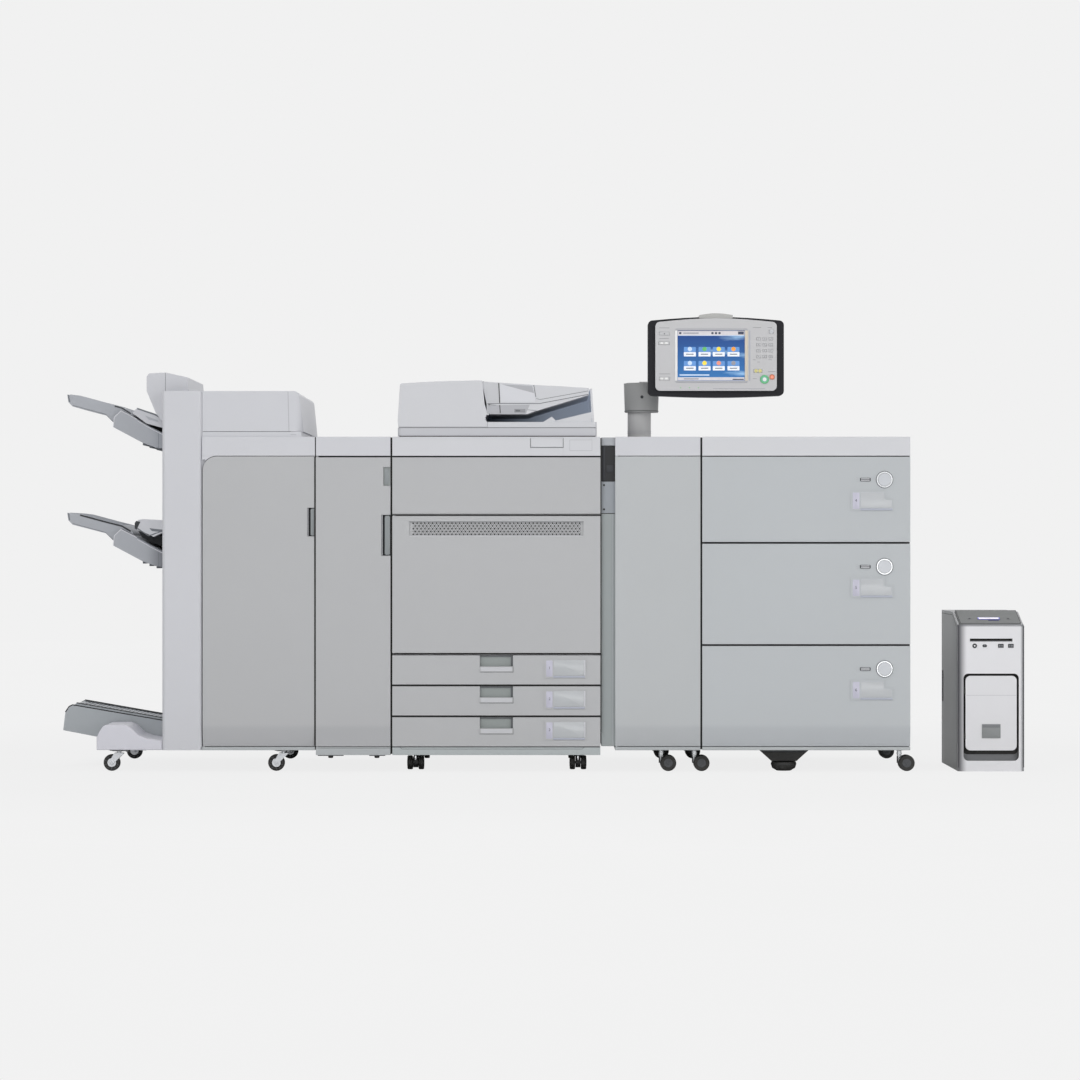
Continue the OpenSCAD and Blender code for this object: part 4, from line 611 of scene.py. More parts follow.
def makeRing():
    # the piece again round an axis through a centre
    tree, given, result = newSpread("aroundAxis", [
        ("Count", "Int", None), ("Centre", "Vector", None), ("Axis", "Vector", None)])
    points = newNode(tree, "GeometryNodePoints", {"Count": given["Count"],
            "Position": given["Centre"]})["Points"]
    index = newNode(tree, "GeometryNodeInputIndex", {})["Index"]
    angle = maths(tree, "MULTIPLY", maths(tree, "DIVIDE", index, given["Count"]), 2 * math.pi)
    turn = newNode(tree, "FunctionNodeAxisAngleToRotation",
            {"Axis": given["Axis"], "Angle": angle})["Rotation"]
    copies = {"Points": points, "Instance": given["Piece"], "Rotation": turn}
    return endSpread(tree, given, result, newNode(tree, "GeometryNodeInstanceOnPoints", copies)["Instances"])


rowsTree = makeRows()
ringTree = makeRing()


def spread(bm, name, body, look, tree, values, placed=True):
    holder = bpy.data.objects.new(name, toMesh(bm, name + "One", placed))
    bpy.context.scene.collection.objects.link(holder)
    modifier = holder.modifiers.new("spread", "NODES")
    modifier.node_group = tree
    keys = {item.name: item.identifier for item in tree.interface.items_tree if item.in_out == "INPUT"}
    for label, value in dict(values, Finish=finishes[look]).items():
        modifier[keys[label]] = value
    plain = bpy.data.meshes.new_from_object(holder.evaluated_get(bpy.context.evaluated_depsgraph_get()))
    holder.modifiers.remove(modifier)
    bpy.data.objects.remove(holder)
    plain.name = name
    return showPiece(name, plain, body)


def rows(bm, name, body, look, columns, columnStep, count=1, rowStep=(0, 0, 0)):
    step = [tuple(c / 1000 for c in s) for s in (columnStep, rowStep)]
    return spread(bm, name, body, look, rowsTree,
                  {"Columns": columns, "Column Step": step[0], "Rows": count, "Row Step": step[1]})


def paintFaces(node, look, wanted):
    # another finish for the faces of a node that a test picks, by their middle in line millimetres
    mesh = nodes[node].data
    mesh.materials.append(finishes[look])
    for face in mesh.polygons:
        middle = face.center
        place = (middle.x * 1000 + lineMiddle, middle.y * 1000 + depthMiddle, middle.z * 1000)
        if wanted(*place, face.normal):
            face.material_index = len(mesh.materials) - 1


def figures(name, body, look, signs, height, depth=0.2):
    # plain figures standing on a front face: (sign, x, y of the face, z of the middle)
    bm = bmesh.new()
    for sign, x, y, z in signs:
        curve = bpy.data.curves.new(name + "Curve", "FONT")
        curve.body = sign
        curve.size = height * 1.4
        curve.extrude = depth
        curve.align_x = "CENTER"
        curve.align_y = "CENTER"
        holder = bpy.data.objects.new(name + "Curve", curve)
        bpy.context.scene.collection.objects.link(holder)
        shape = bpy.data.meshes.new_from_object(holder.evaluated_get(bpy.context.evaluated_depsgraph_get()))
        shape.transform(Matrix.Translation((x, y, z)) @ Matrix.Rotation(math.pi / 2, 4, "X"))
        bm.from_mesh(shape)
        bpy.data.objects.remove(holder)
        bpy.data.curves.remove(curve)
        bpy.data.meshes.remove(shape)
    bmesh.ops.remove_doubles(bm, verts=bm.verts, dist=0.001)
    return settle(bm, name, body, look)


# gaps of the whole line, with black strips behind them as painted shade

gaps = {
    "uprights": [(474.4, 476.6, 70, 1038), (708.4, 713.6, 56, 1038), (1359.4, 1361.6, 125, 1036),
                 (1669.4, 1674.6, 70, 1038)],
    "levels": [(176, 474, 979.3, 980.8), (486, 708, 977.2, 980.8), (714.5, 1358.5, 977.2, 980.8),
               (1415, 1669, 979.3, 980.8), (1675.5, 2319.5, 978.6, 980.8)],
    "drawerGaps": [(714.5, 1358.5, 171, 175), (714.5, 1358.5, 267, 271), (1675.5, 2319.5, 392, 396),
                   (1675.5, 2319.5, 709.2, 712.8)],
    "rib": 1.0,
}


def makeGaps():
    bm = bmesh.new()
    seat = atFront(0)
    for x0, x1, z0, z1 in gaps["uprights"]:
        prisms(bm, seat, [
            (rect(x0, z0, x1, z1), -30, -12, 0, 0.5),
            (rect((x0 + x1) / 2 - gaps["rib"] / 2, z0, (x0 + x1) / 2 + gaps["rib"] / 2, z1), -12, -10),
        ])
    for x0, x1, z0, z1 in gaps["levels"]:
        prism(bm, seat, rect(x0, z0, x1, z1), -26, -9, soft=0.4)
    for x0, x1, z0, z1 in gaps["drawerGaps"]:
        prism(bm, seat, rect(x0, z0, x1, z1), -30, -8, soft=0.6)
    prisms(bm, seat, [
        (rect(474.1, 68.6, 476.2, 1039.6), 0, 0.3),
        (rect(1359.7, 125, 1362.3, 1036), -12, 0.3),
    ])
    settle(bm, "gapShadeStrips", "line", "sealBlack")
    # a black strip along the finisher door's edge, painted shade that widens its gap
    bm = bmesh.new()
    prism(bm, seat, rect(471.6, 82, 473.9, 978), -1, 0.3)
    settle(bm, "doorEdgeShadeStrip", "finisher_door", "sealBlack")
    # the cross rails' faces in the gaps under the toner cover and the front cover, painted black as shade
    paintFaces("engine_frame", "sealBlack", lambda x, y, z, n: y < 24 and (795 < z < 800 or 364 < z < 369))


makeGaps()

# finisher: mouths, slots, pull, hood seams

mouth = {"lows": (184, 721.5, 1064.5), "tall": 30, "front": 236, "rear": 504, "shaft": 3, "roller": 9.5,
         "combPitch": 12}
pulls = {
    "finisher_door": {"x": (451, 475.6), "z": (731.6, 819.4), "floor": 16},
    "coupler_door": {"x": (681, 707.6), "z": (671.6, 797.4), "floor": 16},
}


def makeMouths():
    bm = bmesh.new()
    comb = bmesh.new()
    for low in mouth["lows"]:
        liner = rect(mouth["front"] + 1.5, low + 0.6, mouth["rear"] - 1.5, low + mouth["tall"] - 0.6)
        prism(bm, atLeft(0), liner, -29.7, -28.8)
        for lift in (0.3, mouth["tall"] - 3.3):
            prism(bm, atLeft(0), rect(mouth["front"] + 1.5, low + lift, mouth["rear"] - 1.5,
                    low + lift + 3), -28.7, -2, soft=0.8)
        seat = atBack(mouth["front"])
        z = low + mouth["tall"] / 2
        turned(bm, seat, 16, z, [(0, 1.6), (mouth["shaft"], 1.6), (mouth["shaft"], 266.4), (0, 266.4)], 1, 14)
        for k in range(6):
            w = 14 + 40.5 * k
            r = mouth["roller"]
            turned(bm, seat, 16, z, [(3, w), (r - 1, w), (r, w + 1.5), (r, w + 22.5), (r - 1, w + 24),
                    (3, w + 24), (3, w)], 2, 24)
        prism(comb, atBack(mouth["front"] + 4), [(2, low + 3.4), (27, low + 3.4), (27, low + 7),
                (12, low + 5.4)], 0, 1.6)
    settle(bm, "mouthRollers", "line", "liner chrome roller")
    rows(comb, "mouthCombs", "line", "liner", 22, (0, mouth["combPitch"], 0))


def makeRacks():
    # toothed racks on both walls of the slots that the trays' hooks climb in
    bm = bmesh.new()
    for y0, y1 in ((220.3, 223.2), (232.8, 235.7), (504.3, 507.2), (516.8, 519.7)):
        prism(bm, atBack(y0), [(20, 92), (27, 93.5), (27, 98.5), (20, 100)], 0, y1 - y0)
    rows(bm, "slotRacks", "line", "liner", 90, (0, 0, 12))
    bm = bmesh.new()
    for y0, y1 in ((220.2, 223.4), (232.6, 235.8), (504.2, 507.4), (516.6, 519.8)):
        prism(bm, atBack(y0), rect(27.2, 90, 29.6, 1176), 0, y1 - y0, soft=0.4)
    settle(bm, "slotStrips", "line", "liner")


def makePulls():
    for body, pull in pulls.items():
        bm = bmesh.new()
        seat = atFront(pull["floor"])
        x0, x1 = pull["x"]
        z0, z1 = pull["z"]
        # the dark floor of the pocket round the grip plate is painted shade
        prisms(bm, seat, [
            (rect(x0, z0, x1, z1, 1.5), 0.1, 1.2),
            (rect(x0 + 0.2, z0 + 0.2, x0 + 2.6, z1 - 0.2), 1.3, 15.6, 1, 0.5),
            (rect(x0 + 9.5, z0 + 2, x1 - 1, z1 - 2, 3), 1.3, 12.5, 2, 1.2),
        ])
        settle(bm, body + "Grip", body, "liner rim grip")
    bm = bmesh.new()
    seat = atFront(6)
    prisms(bm, seat, [
        (rect(687, 889, 707.4, 945, 2), 0.1, 1.6, 0, 0.6),
        (rect(690.5, 893, 704, 941, 2), 1.7, 3.0, 1, 0.6),
    ])
    settle(bm, "couplerCatch", "coupler_door", "recess grip")


def makeHoodSeams():
    # lid line, painted plinth shadow, a painted shade line down the hood's rounded right end, and the pads on
    # the hood and the head
    bm = bmesh.new()
    prisms(bm, atFront(8), [
        (rect(126, 1055.4, 398, 1057.2), 0.0, 0.3),
        (strip([(398, 1047), (416, 1047)], 1.4), 0, 0.3, 2),
        (strip([(390, 1180), (393, 1058)], 2.2), 0, 0.3, 2),
    ])
    top = atTop(1182)
    prism(bm, top, strip([(150, 40), (400, 40), (400, 724), (150, 724), (150, 40)], 1.2), 0, 0.3)
    prism(bm, atFront(120), strip([(-2, 1183.5), (-2, 1243)], 1.2), 0, 0.3)
    for y in (150, 590):
        prism(bm, atLeft(61), rect(y, 1203, y + 22, 1225, 3), 0, 0.6, 1, soft=0.3)
    settle(bm, "hoodSeamsAndShade", "line", "seam rim softSeam")


makeMouths()
makeRacks()
makePulls()
makeHoodSeams()

# stacking trays: ribs, edge trims with painted highlights and painted shade, and the flaps above them

tray = {
    "reach": 320, "high": 175, "front": 170, "bedRibs": 9, "tipRibs": 8,
    "bedTop": [(0.03, 0.272), (0.056, 0.292), (0.174, 0.401), (0.335, 0.574)],
    "tipTop": [(0.372, 0.672), (0.458, 0.768), (0.608, 0.836), (0.872, 0.966), (0.972, 0.988)],
    "bedEnd": [(0.30, 0.539), (0.341, 0.583), (0.458, 0.693), (0.524, 0.58), (0.533, 0.4)],
}


def trayPoint(share, low, lift=0.0):
    return (-share[0] * tray["reach"] - 0.5, low + share[1] * tray["high"] + lift)


def makeTrays():
    for body, low in (("upper_tray", 1005), ("lower_tray", 632)):
        for name, shares, first, pitch, count in (("BedRibs", tray["bedTop"], 184, 46, tray["bedRibs"]),
                                                  ("TipRibs", tray["tipTop"], 208, 46, tray["tipRibs"])):
            bm = bmesh.new()
            top = [trayPoint(p, low, 1.6) for p in shares]
            foot = [trayPoint(p, low, -1.5) for p in shares][::-1]
            prism(bm, atBack(first), top + foot, 0, 4, soft=0.7)
            rows(bm, body + name, body, "trayRib", count, (0, pitch, 0))
        bm = bmesh.new()
        seat = atFront(tray["front"])
        # light strips along the bed's end at the joint and along its top edge are painted highlights
        prisms(bm, seat, [
            (strip([trayPoint(p, low) for p in tray["bedEnd"]], 2.6), 0, 0.5, 0, 0.2),
            (strip([trayPoint(p, low) for p in ((0.02, 0.245), (0.056, 0.272), (0.174, 0.38),
             (0.30, 0.515))], 1.6), 0, 0.4),
            (strip([trayPoint(p, low) for p in ((0.09, 0.032), (0.09, 0.31))], 1.4), 0, 0.3, 1),
        ])
        for share in ((0.1, 0.02), (0.17, 0.06), (0.235, 0.105)):
            x, z = trayPoint(share, low, 1)
            prism(bm, atBack(190), rect(x - 5, z - 6, x + 5, z + 4, 1.5), 0, 360, 1)
        tip = atFront(tray["front"] + 26)
        prisms(bm, tip, [
            (strip([trayPoint(p, low) for p in ((0.545, 0.50), (0.622, 0.64), (0.94, 0.796))], 1.6), 0, 0.4,
             1),
            (strip([trayPoint(p, low) for p in ((0.975, 0.86), (0.986, 0.985))], 4.0), 0, 0.4, 1),
        ])
        # a dark band below the tip's top edge, painted shade
        shade = [(s, h, 2.6) for s, h in tray["tipTop"][:-1]] if low < 1000 else [(0.372, 0.672, 3.6),
                (0.458, 0.768, 3.4), (0.53, 0.801, 3.0)]
        prism(bm, tip, strip([trayPoint((s, h), low, -drop) for s, h, drop in shade],
                5.2 if low < 1000 else 4.0), 0, 0.4, 2)
        settle(bm, body + "Trims", body, "rim trayShade liner")
    bm = bmesh.new()
    seat = atFront(170)
    prisms(bm, seat, [
        (strip([(-96, 1133.6), (-40, 1114.8), (-8, 1096)], 4.4), 0, 0.5, 0, 0.2),
        ([(-72, 1112), (-32, 1097), (-28, 1091), (-60, 1099)], 0, 0.5, 1),
        (strip([(-93, 781), (-84, 783.6), (-6, 779.6)], 2.4), 0, 0.5, 2),
        ([(-58, 757), (-12, 752), (-12, 744), (-50, 748)], 0, 0.4),
        ([(-104, 774), (-99, 780), (-86, 777), (-92, 765), (-98, 752), (-104, 756)], 0, 0.5, 3),
    ])
    # dark bodies behind the flaps, painted shade in the hollow between each flap and the tray bed
    carrier = atBack(236)
    prisms(bm, carrier, [
        ([(-101, 749), (-88, 728), (-62, 714), (-36, 704), (-3, 694), (-3, 731), (-60, 734)], 0, 260, 3, 2),
        ([(-62, 1078), (-40, 1066), (-3, 1060), (-3, 1090), (-46, 1088)], 0, 260, 3, 2),
    ])
    prism(bm, seat, strip([(-96, 757), (-60, 733), (-10, 750)], 3.0), 0, 0.5)
    settle(bm, "flapTrims", "line", "trayShade trayRib rim liner")


def makeBooklet():
    # black lips along both upper edges and a slatted bed between them
    bm = bmesh.new()
    line = [(-3, 146.8), (-306.5, 198.6), (-317, 193.5), (-329, 176)]
    for y in (220, 536.4):
        prism(bm, atBack(y), strip(line, 3.4), 0, 3.6, soft=0.5)
    for y in (269.6, 477.6):
        prism(bm, atBack(y), strip([(-3, 151.4), (-300, 203.2)], 1.6), 0, 12.8, soft=0.4)
    settle(bm, "bookletLips", "line", "charcoal")
    bm = bmesh.new()
    prism(bm, atBack(292), [(-20, 149.2), (-26, 150.2), (-26, 151.8), (-20, 150.8)], 0, 176)
    rows(bm, "bookletSlats", "line", "trayRib", 22, (-12.6, 0, 2.16))


makeTrays()
makeBooklet()
print("stage: finisher dressed")


# engine: grille backing, seams, drawer pulls and labels, skirt

engine = {"grille": (762.6, 1310.4, 729, 780), "drawerTops": (362, 266, 170), "pull": (986, 1087),
          "label": (1185, 1315), "pullFloor": 14, "labelFloor": -2.2, "under": 53}


def makeGrille():
    # a black backing behind the perforations, painted shade, with its clips; a bright strip along the
    # window's lower edge, a painted highlight, and a dark strip along its upper edge, painted shade
    bm = bmesh.new()
    x0, x1, z0, z1 = engine["grille"]
    seat = atBack(10.6)
    prism(bm, seat, rect(x0, z0, x1, z1, 2), 0, 2.4, soft=0.6)
    for k in range(7):
        x = x0 + 30 + 81.3 * k
        prisms(bm, seat, [
            (rect(x, z1 - 7, x + 14, z1 - 1, 1), 2.5, 5.5, 0, 0.6),
            (rect(x, z0 + 1, x + 14, z0 + 7, 1), 2.5, 5.5, 0, 0.6),
        ])
    front = atFront(0)
    prisms(bm, front, [
        (strip([(765.6, 732.2), (1307.4, 732.2)], 1.2), 0, 0.25, 1),
        (strip([(765.6, 776.8), (1307.4, 776.8)], 1.2), 0, 0.25, 2),
    ])
    settle(bm, "grilleShadeBacking", "front_cover", "sealBlack rim seam")
    # black dots between the punched holes, painted shade in place of further holes, which make the pattern as
    # fine as on the photograph
    for name, x, z, columns, step, count, rowStep in (
            ("grilleShadeDotsEven", 784.5, 737.3, 43, 12, 3, 17.2),
            ("grilleShadeDotsOdd", 778.5, 745.9, 44, 12, 2, 17.2),
            ("grilleShadeDotsBetween", 781.5, 741.6, 87, 6, 4, 8.6)):
        bm = bmesh.new()
        turned(bm, front, x, z, [(0, 0), (1.15, 0), (1.15, 0.1), (0, 0.15)], 0, 8)
        rows(bm, name, "front_cover", "sealBlack", columns, (step, 0, 0), count, (0, 0, rowStep))
    # the walls of the punched holes painted black as shade
    paintFaces("front_cover", "sealBlack", lambda x, y, z, n: 767 < x < 1306 and 733 < z < 776 and y > 0.3
            and abs(n.y) < 0.6)


def makeDrawerFronts():
    for k, top in enumerate(engine["drawerTops"]):
        body = "paper_drawer_%d" % (k + 1)
        bm = bmesh.new()
        x0, x1 = engine["pull"]
        floor = atFront(engine["pullFloor"])
        # the recess in a darker tone with dark strips along its top and right end is painted shade; the light
        # strip on the lip below is a painted highlight
        prisms(bm, floor, [
            (rect(x0 + 0.3, top - 42, x1 + 0.7, top - 0.3, 2), 0.1, 0.9),
            (rect(x1 - 6, top - 42, x1 + 0.5, top - 0.3), 1.0, 1.6, 1),
            (rect(x0 + 0.3, top - 6, x1 + 0.7, top - 0.3), 1.0, 2.2, 1, 0.4),
        ])
        face = atFront(0)
        prism(bm, face, strip([(x0 - 0.4, top - 33), (x0 - 0.4, top - 51.8), (x1 + 1.6, top - 51.8),
                (x1 + 1.6, top - 33)], 1.1), 0, 0.3, 1)
        prism(bm, atFront(-3), rect(x0 + 3, top - 49, x1 - 2, top - 36, 2), 0, 0.25, 2)
        settle(bm, body + "Pull", body, "recess seam gripLight")
        bm = bmesh.new()
        a, b = engine["label"]
        plate = atFront(engine["labelFloor"])
        prisms(bm, plate, [
            (rect(a + 6, top - 66, a + 25.6, top - 15.5, 2), 0, 0.5, 0, 0.2),
            (rect(a + 29.5, top - 62, b - 7, top - 14.5, 2), 0, 0.7, 1, 0.3),
            (rect(a + 28, top - 69, b - 4, top - 63.5, 1), 0, 0.9, 2, 0.3),
            (rect(b - 6, top - 62, b - 3, top - 14.5, 1), 0, 0.9, 3, 0.3),
        ])
        settle(bm, body + "Label", body, "labelCell labelWindow labelBlue rim")
        figures(body + "Number", body, "ink", [(str(k + 1), a + 16.5, -2.75, top - 39)], 8.5)
        bm = bmesh.new()
        for x in (746, 1322):
            prism(bm, atBack(40), rect(x - 9, top - 74, x + 9, top - 69, 1.5), 0, 30, soft=0.8)
        for x in (860, 1150):
            prism(bm, atBack(90), rect(x - 3, top - 73, x + 3, top - 34), 0, 8, soft=1)
            prism(bm, atBack(300), rect(x - 9, top - 73, x + 9, top - 40, 2), 0, 6, 1, soft=1)
        settle(bm, body + "Guides", body, "liner lever")


def makeEngineSeams():
    bm = bmesh.new()
    front = atFront(0)
    prisms(bm, front, [
        (strip([(737, 77.6), (744, 71.8), (1302, 71.8), (1309, 77.6)], 1.5), 0, 0.3),
        (rect(715, 76.6, 1358, 77.8), 0, 0.3),
        (strip([(1142.1, 1035), (1142.1, 1006.3), (1244, 1006.3), (1244, 1035)], 1.5), 0, 0.35),
        (strip([(1264, 1030), (1264, 997), (1333, 997), (1333, 1030), (1264, 1030)], 1.1), 0, 0.25, 1),
        (strip([(715, 1038.2), (1358, 1038.2)], 1.0), 0, 0.25, 2),
    ])
    settle(bm, "engineSeams", "line", "seam softSeam rim")
    bm = bmesh.new()
    prism(bm, front, rect(479, 74, 706, 75.6), 0, 0.3)
    for x0, x1 in ((480, 560), (640, 690)):
        prism(bm, atUnder(engine["under"]), rect(x0, 40, x1, 66, 3), 0, 5, soft=1.5)
    for x in (520, 664):
        turned(bm, atUnder(engine["under"]), x, 53, [(0, 5), (8, 5), (8, 10), (6, 12), (0, 12)], 1, 20)
    settle(bm, "couplerSkirt", "line", "seam wheel")


makeGrille()
makeDrawerFronts()
makeEngineSeams()

# document feeder: panels and seams on its front, gasket, white pad, rollers under the cover

feeder = {"front": 20, "left": 730, "right": 1348, "bottom": 1043.5, "cavityBack": 483.95,
        "cavityFloor": 1086.3}


def makeFeeder():
    seat = atFront(feeder["front"])
    bm = bmesh.new()
    prisms(bm, seat, [
        ([(999.6, 1208.9), (1041, 1206.6), (1043.2, 1146.4), (1010.4, 1146.4)], 0, 0.8, 0, 0.3),
        ([(1047, 1205), (1150, 1199.6), (1157, 1162), (1157, 1146.4), (1050.4, 1146.4)], 0, 0.8, 1, 0.3),
        # a darker wedge across the second panel's upper right, painted shade
        ([(1052, 1203.4), (1148, 1198.4), (1153, 1176)], 0.8, 1.0, 2),
        (strip([(1152.4, 1201), (1159, 1163.4)], 1.8), 0, 0.7, 3),
        (strip([(1008.6, 1143.6), (1170, 1143.6), (1322, 1172)], 2.0), 0, 0.5, 3),
        (strip([(1160, 1159), (1172, 1156), (1321, 1182.6)], 1.4), 0, 0.4, 3),
    ])
    settle(bm, "feedTrayPanels", "original_tray", "gripLight rim softSeam seam")
    bm = bmesh.new()
    prisms(bm, seat, [
        (strip([(1043.6, 1207), (1046.6, 1145)], 2.8), 0, 0.5),
        (strip([(1046.8, 1139), (1048.4, 1114)], 2.6), 0.3, 0.6),
        ([(1010.5, 1138), (1140, 1140), (1128, 1112.4), (1012, 1112.4)], 0, 0.3, 3),
        (rect(1092, 1116, 1126, 1126.4, 1), 0.3, 0.6, 1, 0.2),
        (rect(1096, 1118.6, 1110, 1124), 0.6, 0.9, 2),
    ])
    settle(bm, "feedTrayMarks", "original_tray", "sealBlack inkSoft seam softSeam")
    # paper guides that slide across the originals' tray, on the slope of its top
    bm = bmesh.new()
    for y0, y1 in ((120, 126), (372, 378)):
        prism(bm, atBack(y0), [(1062, 1204), (1190, 1196.6), (1190, 1203), (1074, 1209)], 0, y1 - y0,
                soft=1.2)
        prism(bm, atBack(y0 - 12), [(1070, 1206), (1176, 1199.6), (1176, 1201.6), (1070, 1208)], 0,
                y1 - y0 + 24, soft=0.8)
    settle(bm, "originalGuides", "original_tray", "gripLight")
    bm = bmesh.new()
    prism(bm, atBack(170), [(1085, 1205.4), (1240, 1195), (1240, 1196.4), (1085, 1206.8)], 0, 2.4, soft=0.4)
    rows(bm, "originalRibs", "original_tray", "trayRib", 7, (0, 26, 0))
    # back of the delivery, dark at the left and growing lighter to the right, and glowing: painted shade and
    # painted light
    bm = bmesh.new()
    back = atFront(feeder["cavityBack"])
    prism(bm, back, [(1011, 1087), (1318, 1087), (1316, 1166), (1165, 1122), (1011, 1122)], 0, 0.3)
    floor = atTop(feeder["cavityFloor"])
    for k in range(9):
        y = 60 + 46 * k
        prism(bm, floor, rect(1030, y, 1174, y + 3), 0, 1.6, 1, soft=0.5)
    settle(bm, "deliveryBackLitAndShaded", "feeder_base", "cavity gripLight")
    # the delivery's own walls take the same painted shade and painted light
    paintFaces("feeder_base", "cavity", lambda x, y, z, n: x > 1009 and 21 < y < 484.6
            and 1086.5 < z < 1172 and n.z < 0.7 and n.x < 0.5)
    bm = bmesh.new()
    prism(bm, seat, rect(733, 1067.4, 1345, 1070), 0, 0.3)
    settle(bm, "slabLine", "feeder_base", "inkSoft")
    # a light strip in the gap between the originals' tray and the cover, painted light where the gap would
    # show dark
    bm = bmesh.new()
    prism(bm, atFront(24), strip([(994.8, 1213), (1001, 1180), (1009, 1142), (1010.4, 1108)], 6.4), 0, 1.6)
    settle(bm, "coverGapLightStrip", "feed_cover", "gripLight")
    # gasket round the underside, a black strip in the gap under the slab's front as painted shade, and the
    # white pad that holds originals flat
    bm = bmesh.new()
    under = atUnder(feeder["bottom"])
    x0, x1 = feeder["left"] + 5, feeder["right"] - 5
    for ring in ((x0, 21.5, x1, 30), (x0, 566, x1, 574), (x0, 34, x0 + 8, 565), (x1 - 8, 34, x1, 565)):
        prism(bm, under, rect(*ring), 0, 3.0, soft=0.8)
    prism(bm, atFront(21), rect(737, 1040.7, 1215, 1044.3), -0.6, 0.3)
    prism(bm, under, rect(786, 88, 1270, 434, 6), 0, 2.6, 1, soft=0.9)
    for x in (792, 1262):
        for y in (94, 428):
            turned(bm, under, x, y, disc(2.4, 2.6, 3.0, 0.2), 0, 14)
    settle(bm, "platenPad", "feeder_base", "sealBlack padWhite")
    # pick-up and feed rollers on the core under the moulded cover
    bm = bmesh.new()
    for x, z, r in ((955, 1119, 13), (905, 1121, 14), (845, 1117, 10)):
        turned(bm, atBack(70), x, z, [(0, 0), (3.5, 0), (3.5, 360), (0, 360)], 0, 14)
        for k in range(3):
            w = 96 + 66 * k
            turned(bm, atBack(70), x, z, [(3.5, w), (r - 1, w), (r, w + 2), (r, w + 28), (r - 1, w + 30),
                    (3.5, w + 30), (3.5, w)], 1, 24)
    for y in (62, 436):
        prism(bm, atBack(y), [(830, 1105), (972, 1105), (968, 1136), (840, 1130)], 0, 6, 2, soft=1)
    prism(bm, atBack(200), rect(820, 1105, 834, 1112, 1.5), 0, 90, 3, soft=1)
    settle(bm, "feedRollers", "feeder_base", "chrome roller inner lever")


def makeReader():
    # start line beside the glass, size marks round it and the seams of the reader's top
    bm = bmesh.new()
    top = atTop(lineTop)
    prisms(bm, top, [
        (rect(768, 99, 780, 420, 2), 0, 0.5, 0, 0.2),
        (strip([(724, 10), (1349, 10), (1349, 690), (724, 690), (724, 10)], 1.4), 0, 0.25, 1),
    ])
    settle(bm, "readerTop", "line", "labelWindow softSeam")
    bm = bmesh.new()
    prism(bm, top, rect(800, 431, 801.2, 437), 0, 0.3)
    rows(bm, "sizeMarks", "line", "ink", 24, (19.5, 0, 0))


makeFeeder()
makeReader()
paintFaces("engine_frame", "engineRear", lambda x, y, z, n: y > 849 and n.y > 0.9)
print("stage: engine and feeder dressed")


# feed duct, relay and deck

deck = {
    "tops": (978, 708, 391), "buttonX": 2240, "buttonDrop": 71, "labelX": 2134, "labelH": 62,
    "labelDrop": 105, "lampX": 2180, "labelFloor": -2.2, "right": 2320,
}


def makeDuct():
    # clips and ribs on the dark inset, and the finish of each height
    for look, low, high in (("ductDark", 902.2, 1012.9), ("ductMid", 803.2, 901.8),
            ("ductCap", 1013.1, 1039)):
        paintFaces("feed_duct", look, lambda x, y, z, n, low=low, high=high: low - 0.4 < z < high + 0.4)
    bm = bmesh.new()
    seat = atFront(12)
    prisms(bm, seat, [
        (rect(1365, 905, 1374, 1010, 1.5), 0, 0.9, 0, 0.4),
        (rect(1378, 930, 1400, 952, 2), 0, 1.4, 0, 0.5),
    ])
    prisms(bm, atFront(10), [
        (rect(1363, 801.2, 1404, 802.8), 0, 0.3, 1),
        (rect(1363, 901.0, 1404, 902.4), 0, 0.4, 1),
        (rect(1397, 82, 1398.2, 800), 0, 0.3, 2),
    ])
    for z in (815, 890):
        turned(bm, atFront(10), 1370.5, z, disc(3.2, 0, 1.0), 1, 18)
    settle(bm, "ductFittings", "line", "liner sealBlack softSeam")


def makeDeckFronts():
    for k, top in enumerate(deck["tops"]):
        body = "deck_drawer_%d" % (k + 1)
        z = top - deck["buttonDrop"]
        x = deck["buttonX"]
        bm = bmesh.new()
        face = atFront(0)
        turned(bm, atFront(-3), x, z, hoop(20.8, 24.6, 0, 1.4, 0.5), 0, 48)
        turned(bm, face, x, z, hoop(25.3, 27, 0, 0.35, 0.1), 1, 48)
        lamp = atFront(deck["labelFloor"])
        cx = deck["lampX"]
        prism(bm, lamp, rect(cx - 16.4, z - 5.4, cx + 16.4, z + 5.4, 2.4), 0, 0.35, 2)
        for low in (0.9, -3.9):
            prism(bm, lamp, rect(cx - 13.6, z + low, cx + 13.6, z + low + 3, 1), 0.35, 0.8, 3, soft=0.2)
        for lift in (-6, 0, 6):
            prism(bm, face, rect(2152.6, z + lift - 0.8, 2156.6, z + lift + 0.8), 0, 0.3, 4)
        settle(bm, body + "Signals", body, "chrome seam liner gripLight softSeam")
        bm = bmesh.new()
        a = deck["labelX"]
        low = top - deck["labelDrop"] - deck["labelH"]
        plate = atFront(deck["labelFloor"])
        prisms(bm, plate, [
            (rect(a + 7, low + 5, a + 28, low + 56, 2), 0, 0.5, 0, 0.2),
            ([(a + 33, low + 8), (a + 128, low + 8), (a + 128, low + 33), (a + 103, low + 33),
             (a + 103, low + 57), (a + 33, low + 57)], 0, 0.7, 1, 0.3),
            (rect(a + 31, low + 1, a + 130, low + 6.5, 1), 0, 0.9, 2, 0.3),
        ])
        settle(bm, body + "Label", body, "labelCell labelWindow labelBlue")
        figures(body + "Number", body, "ink", [(str(k + 4), a + 17.5, -2.75, low + 31)], 9)
        paintFaces("deck_button_%d" % (k + 1), "buttonFace", lambda x, y, z, n: n.y < -0.9)


post = {"x": 1487, "y": 270, "armX": 1494}


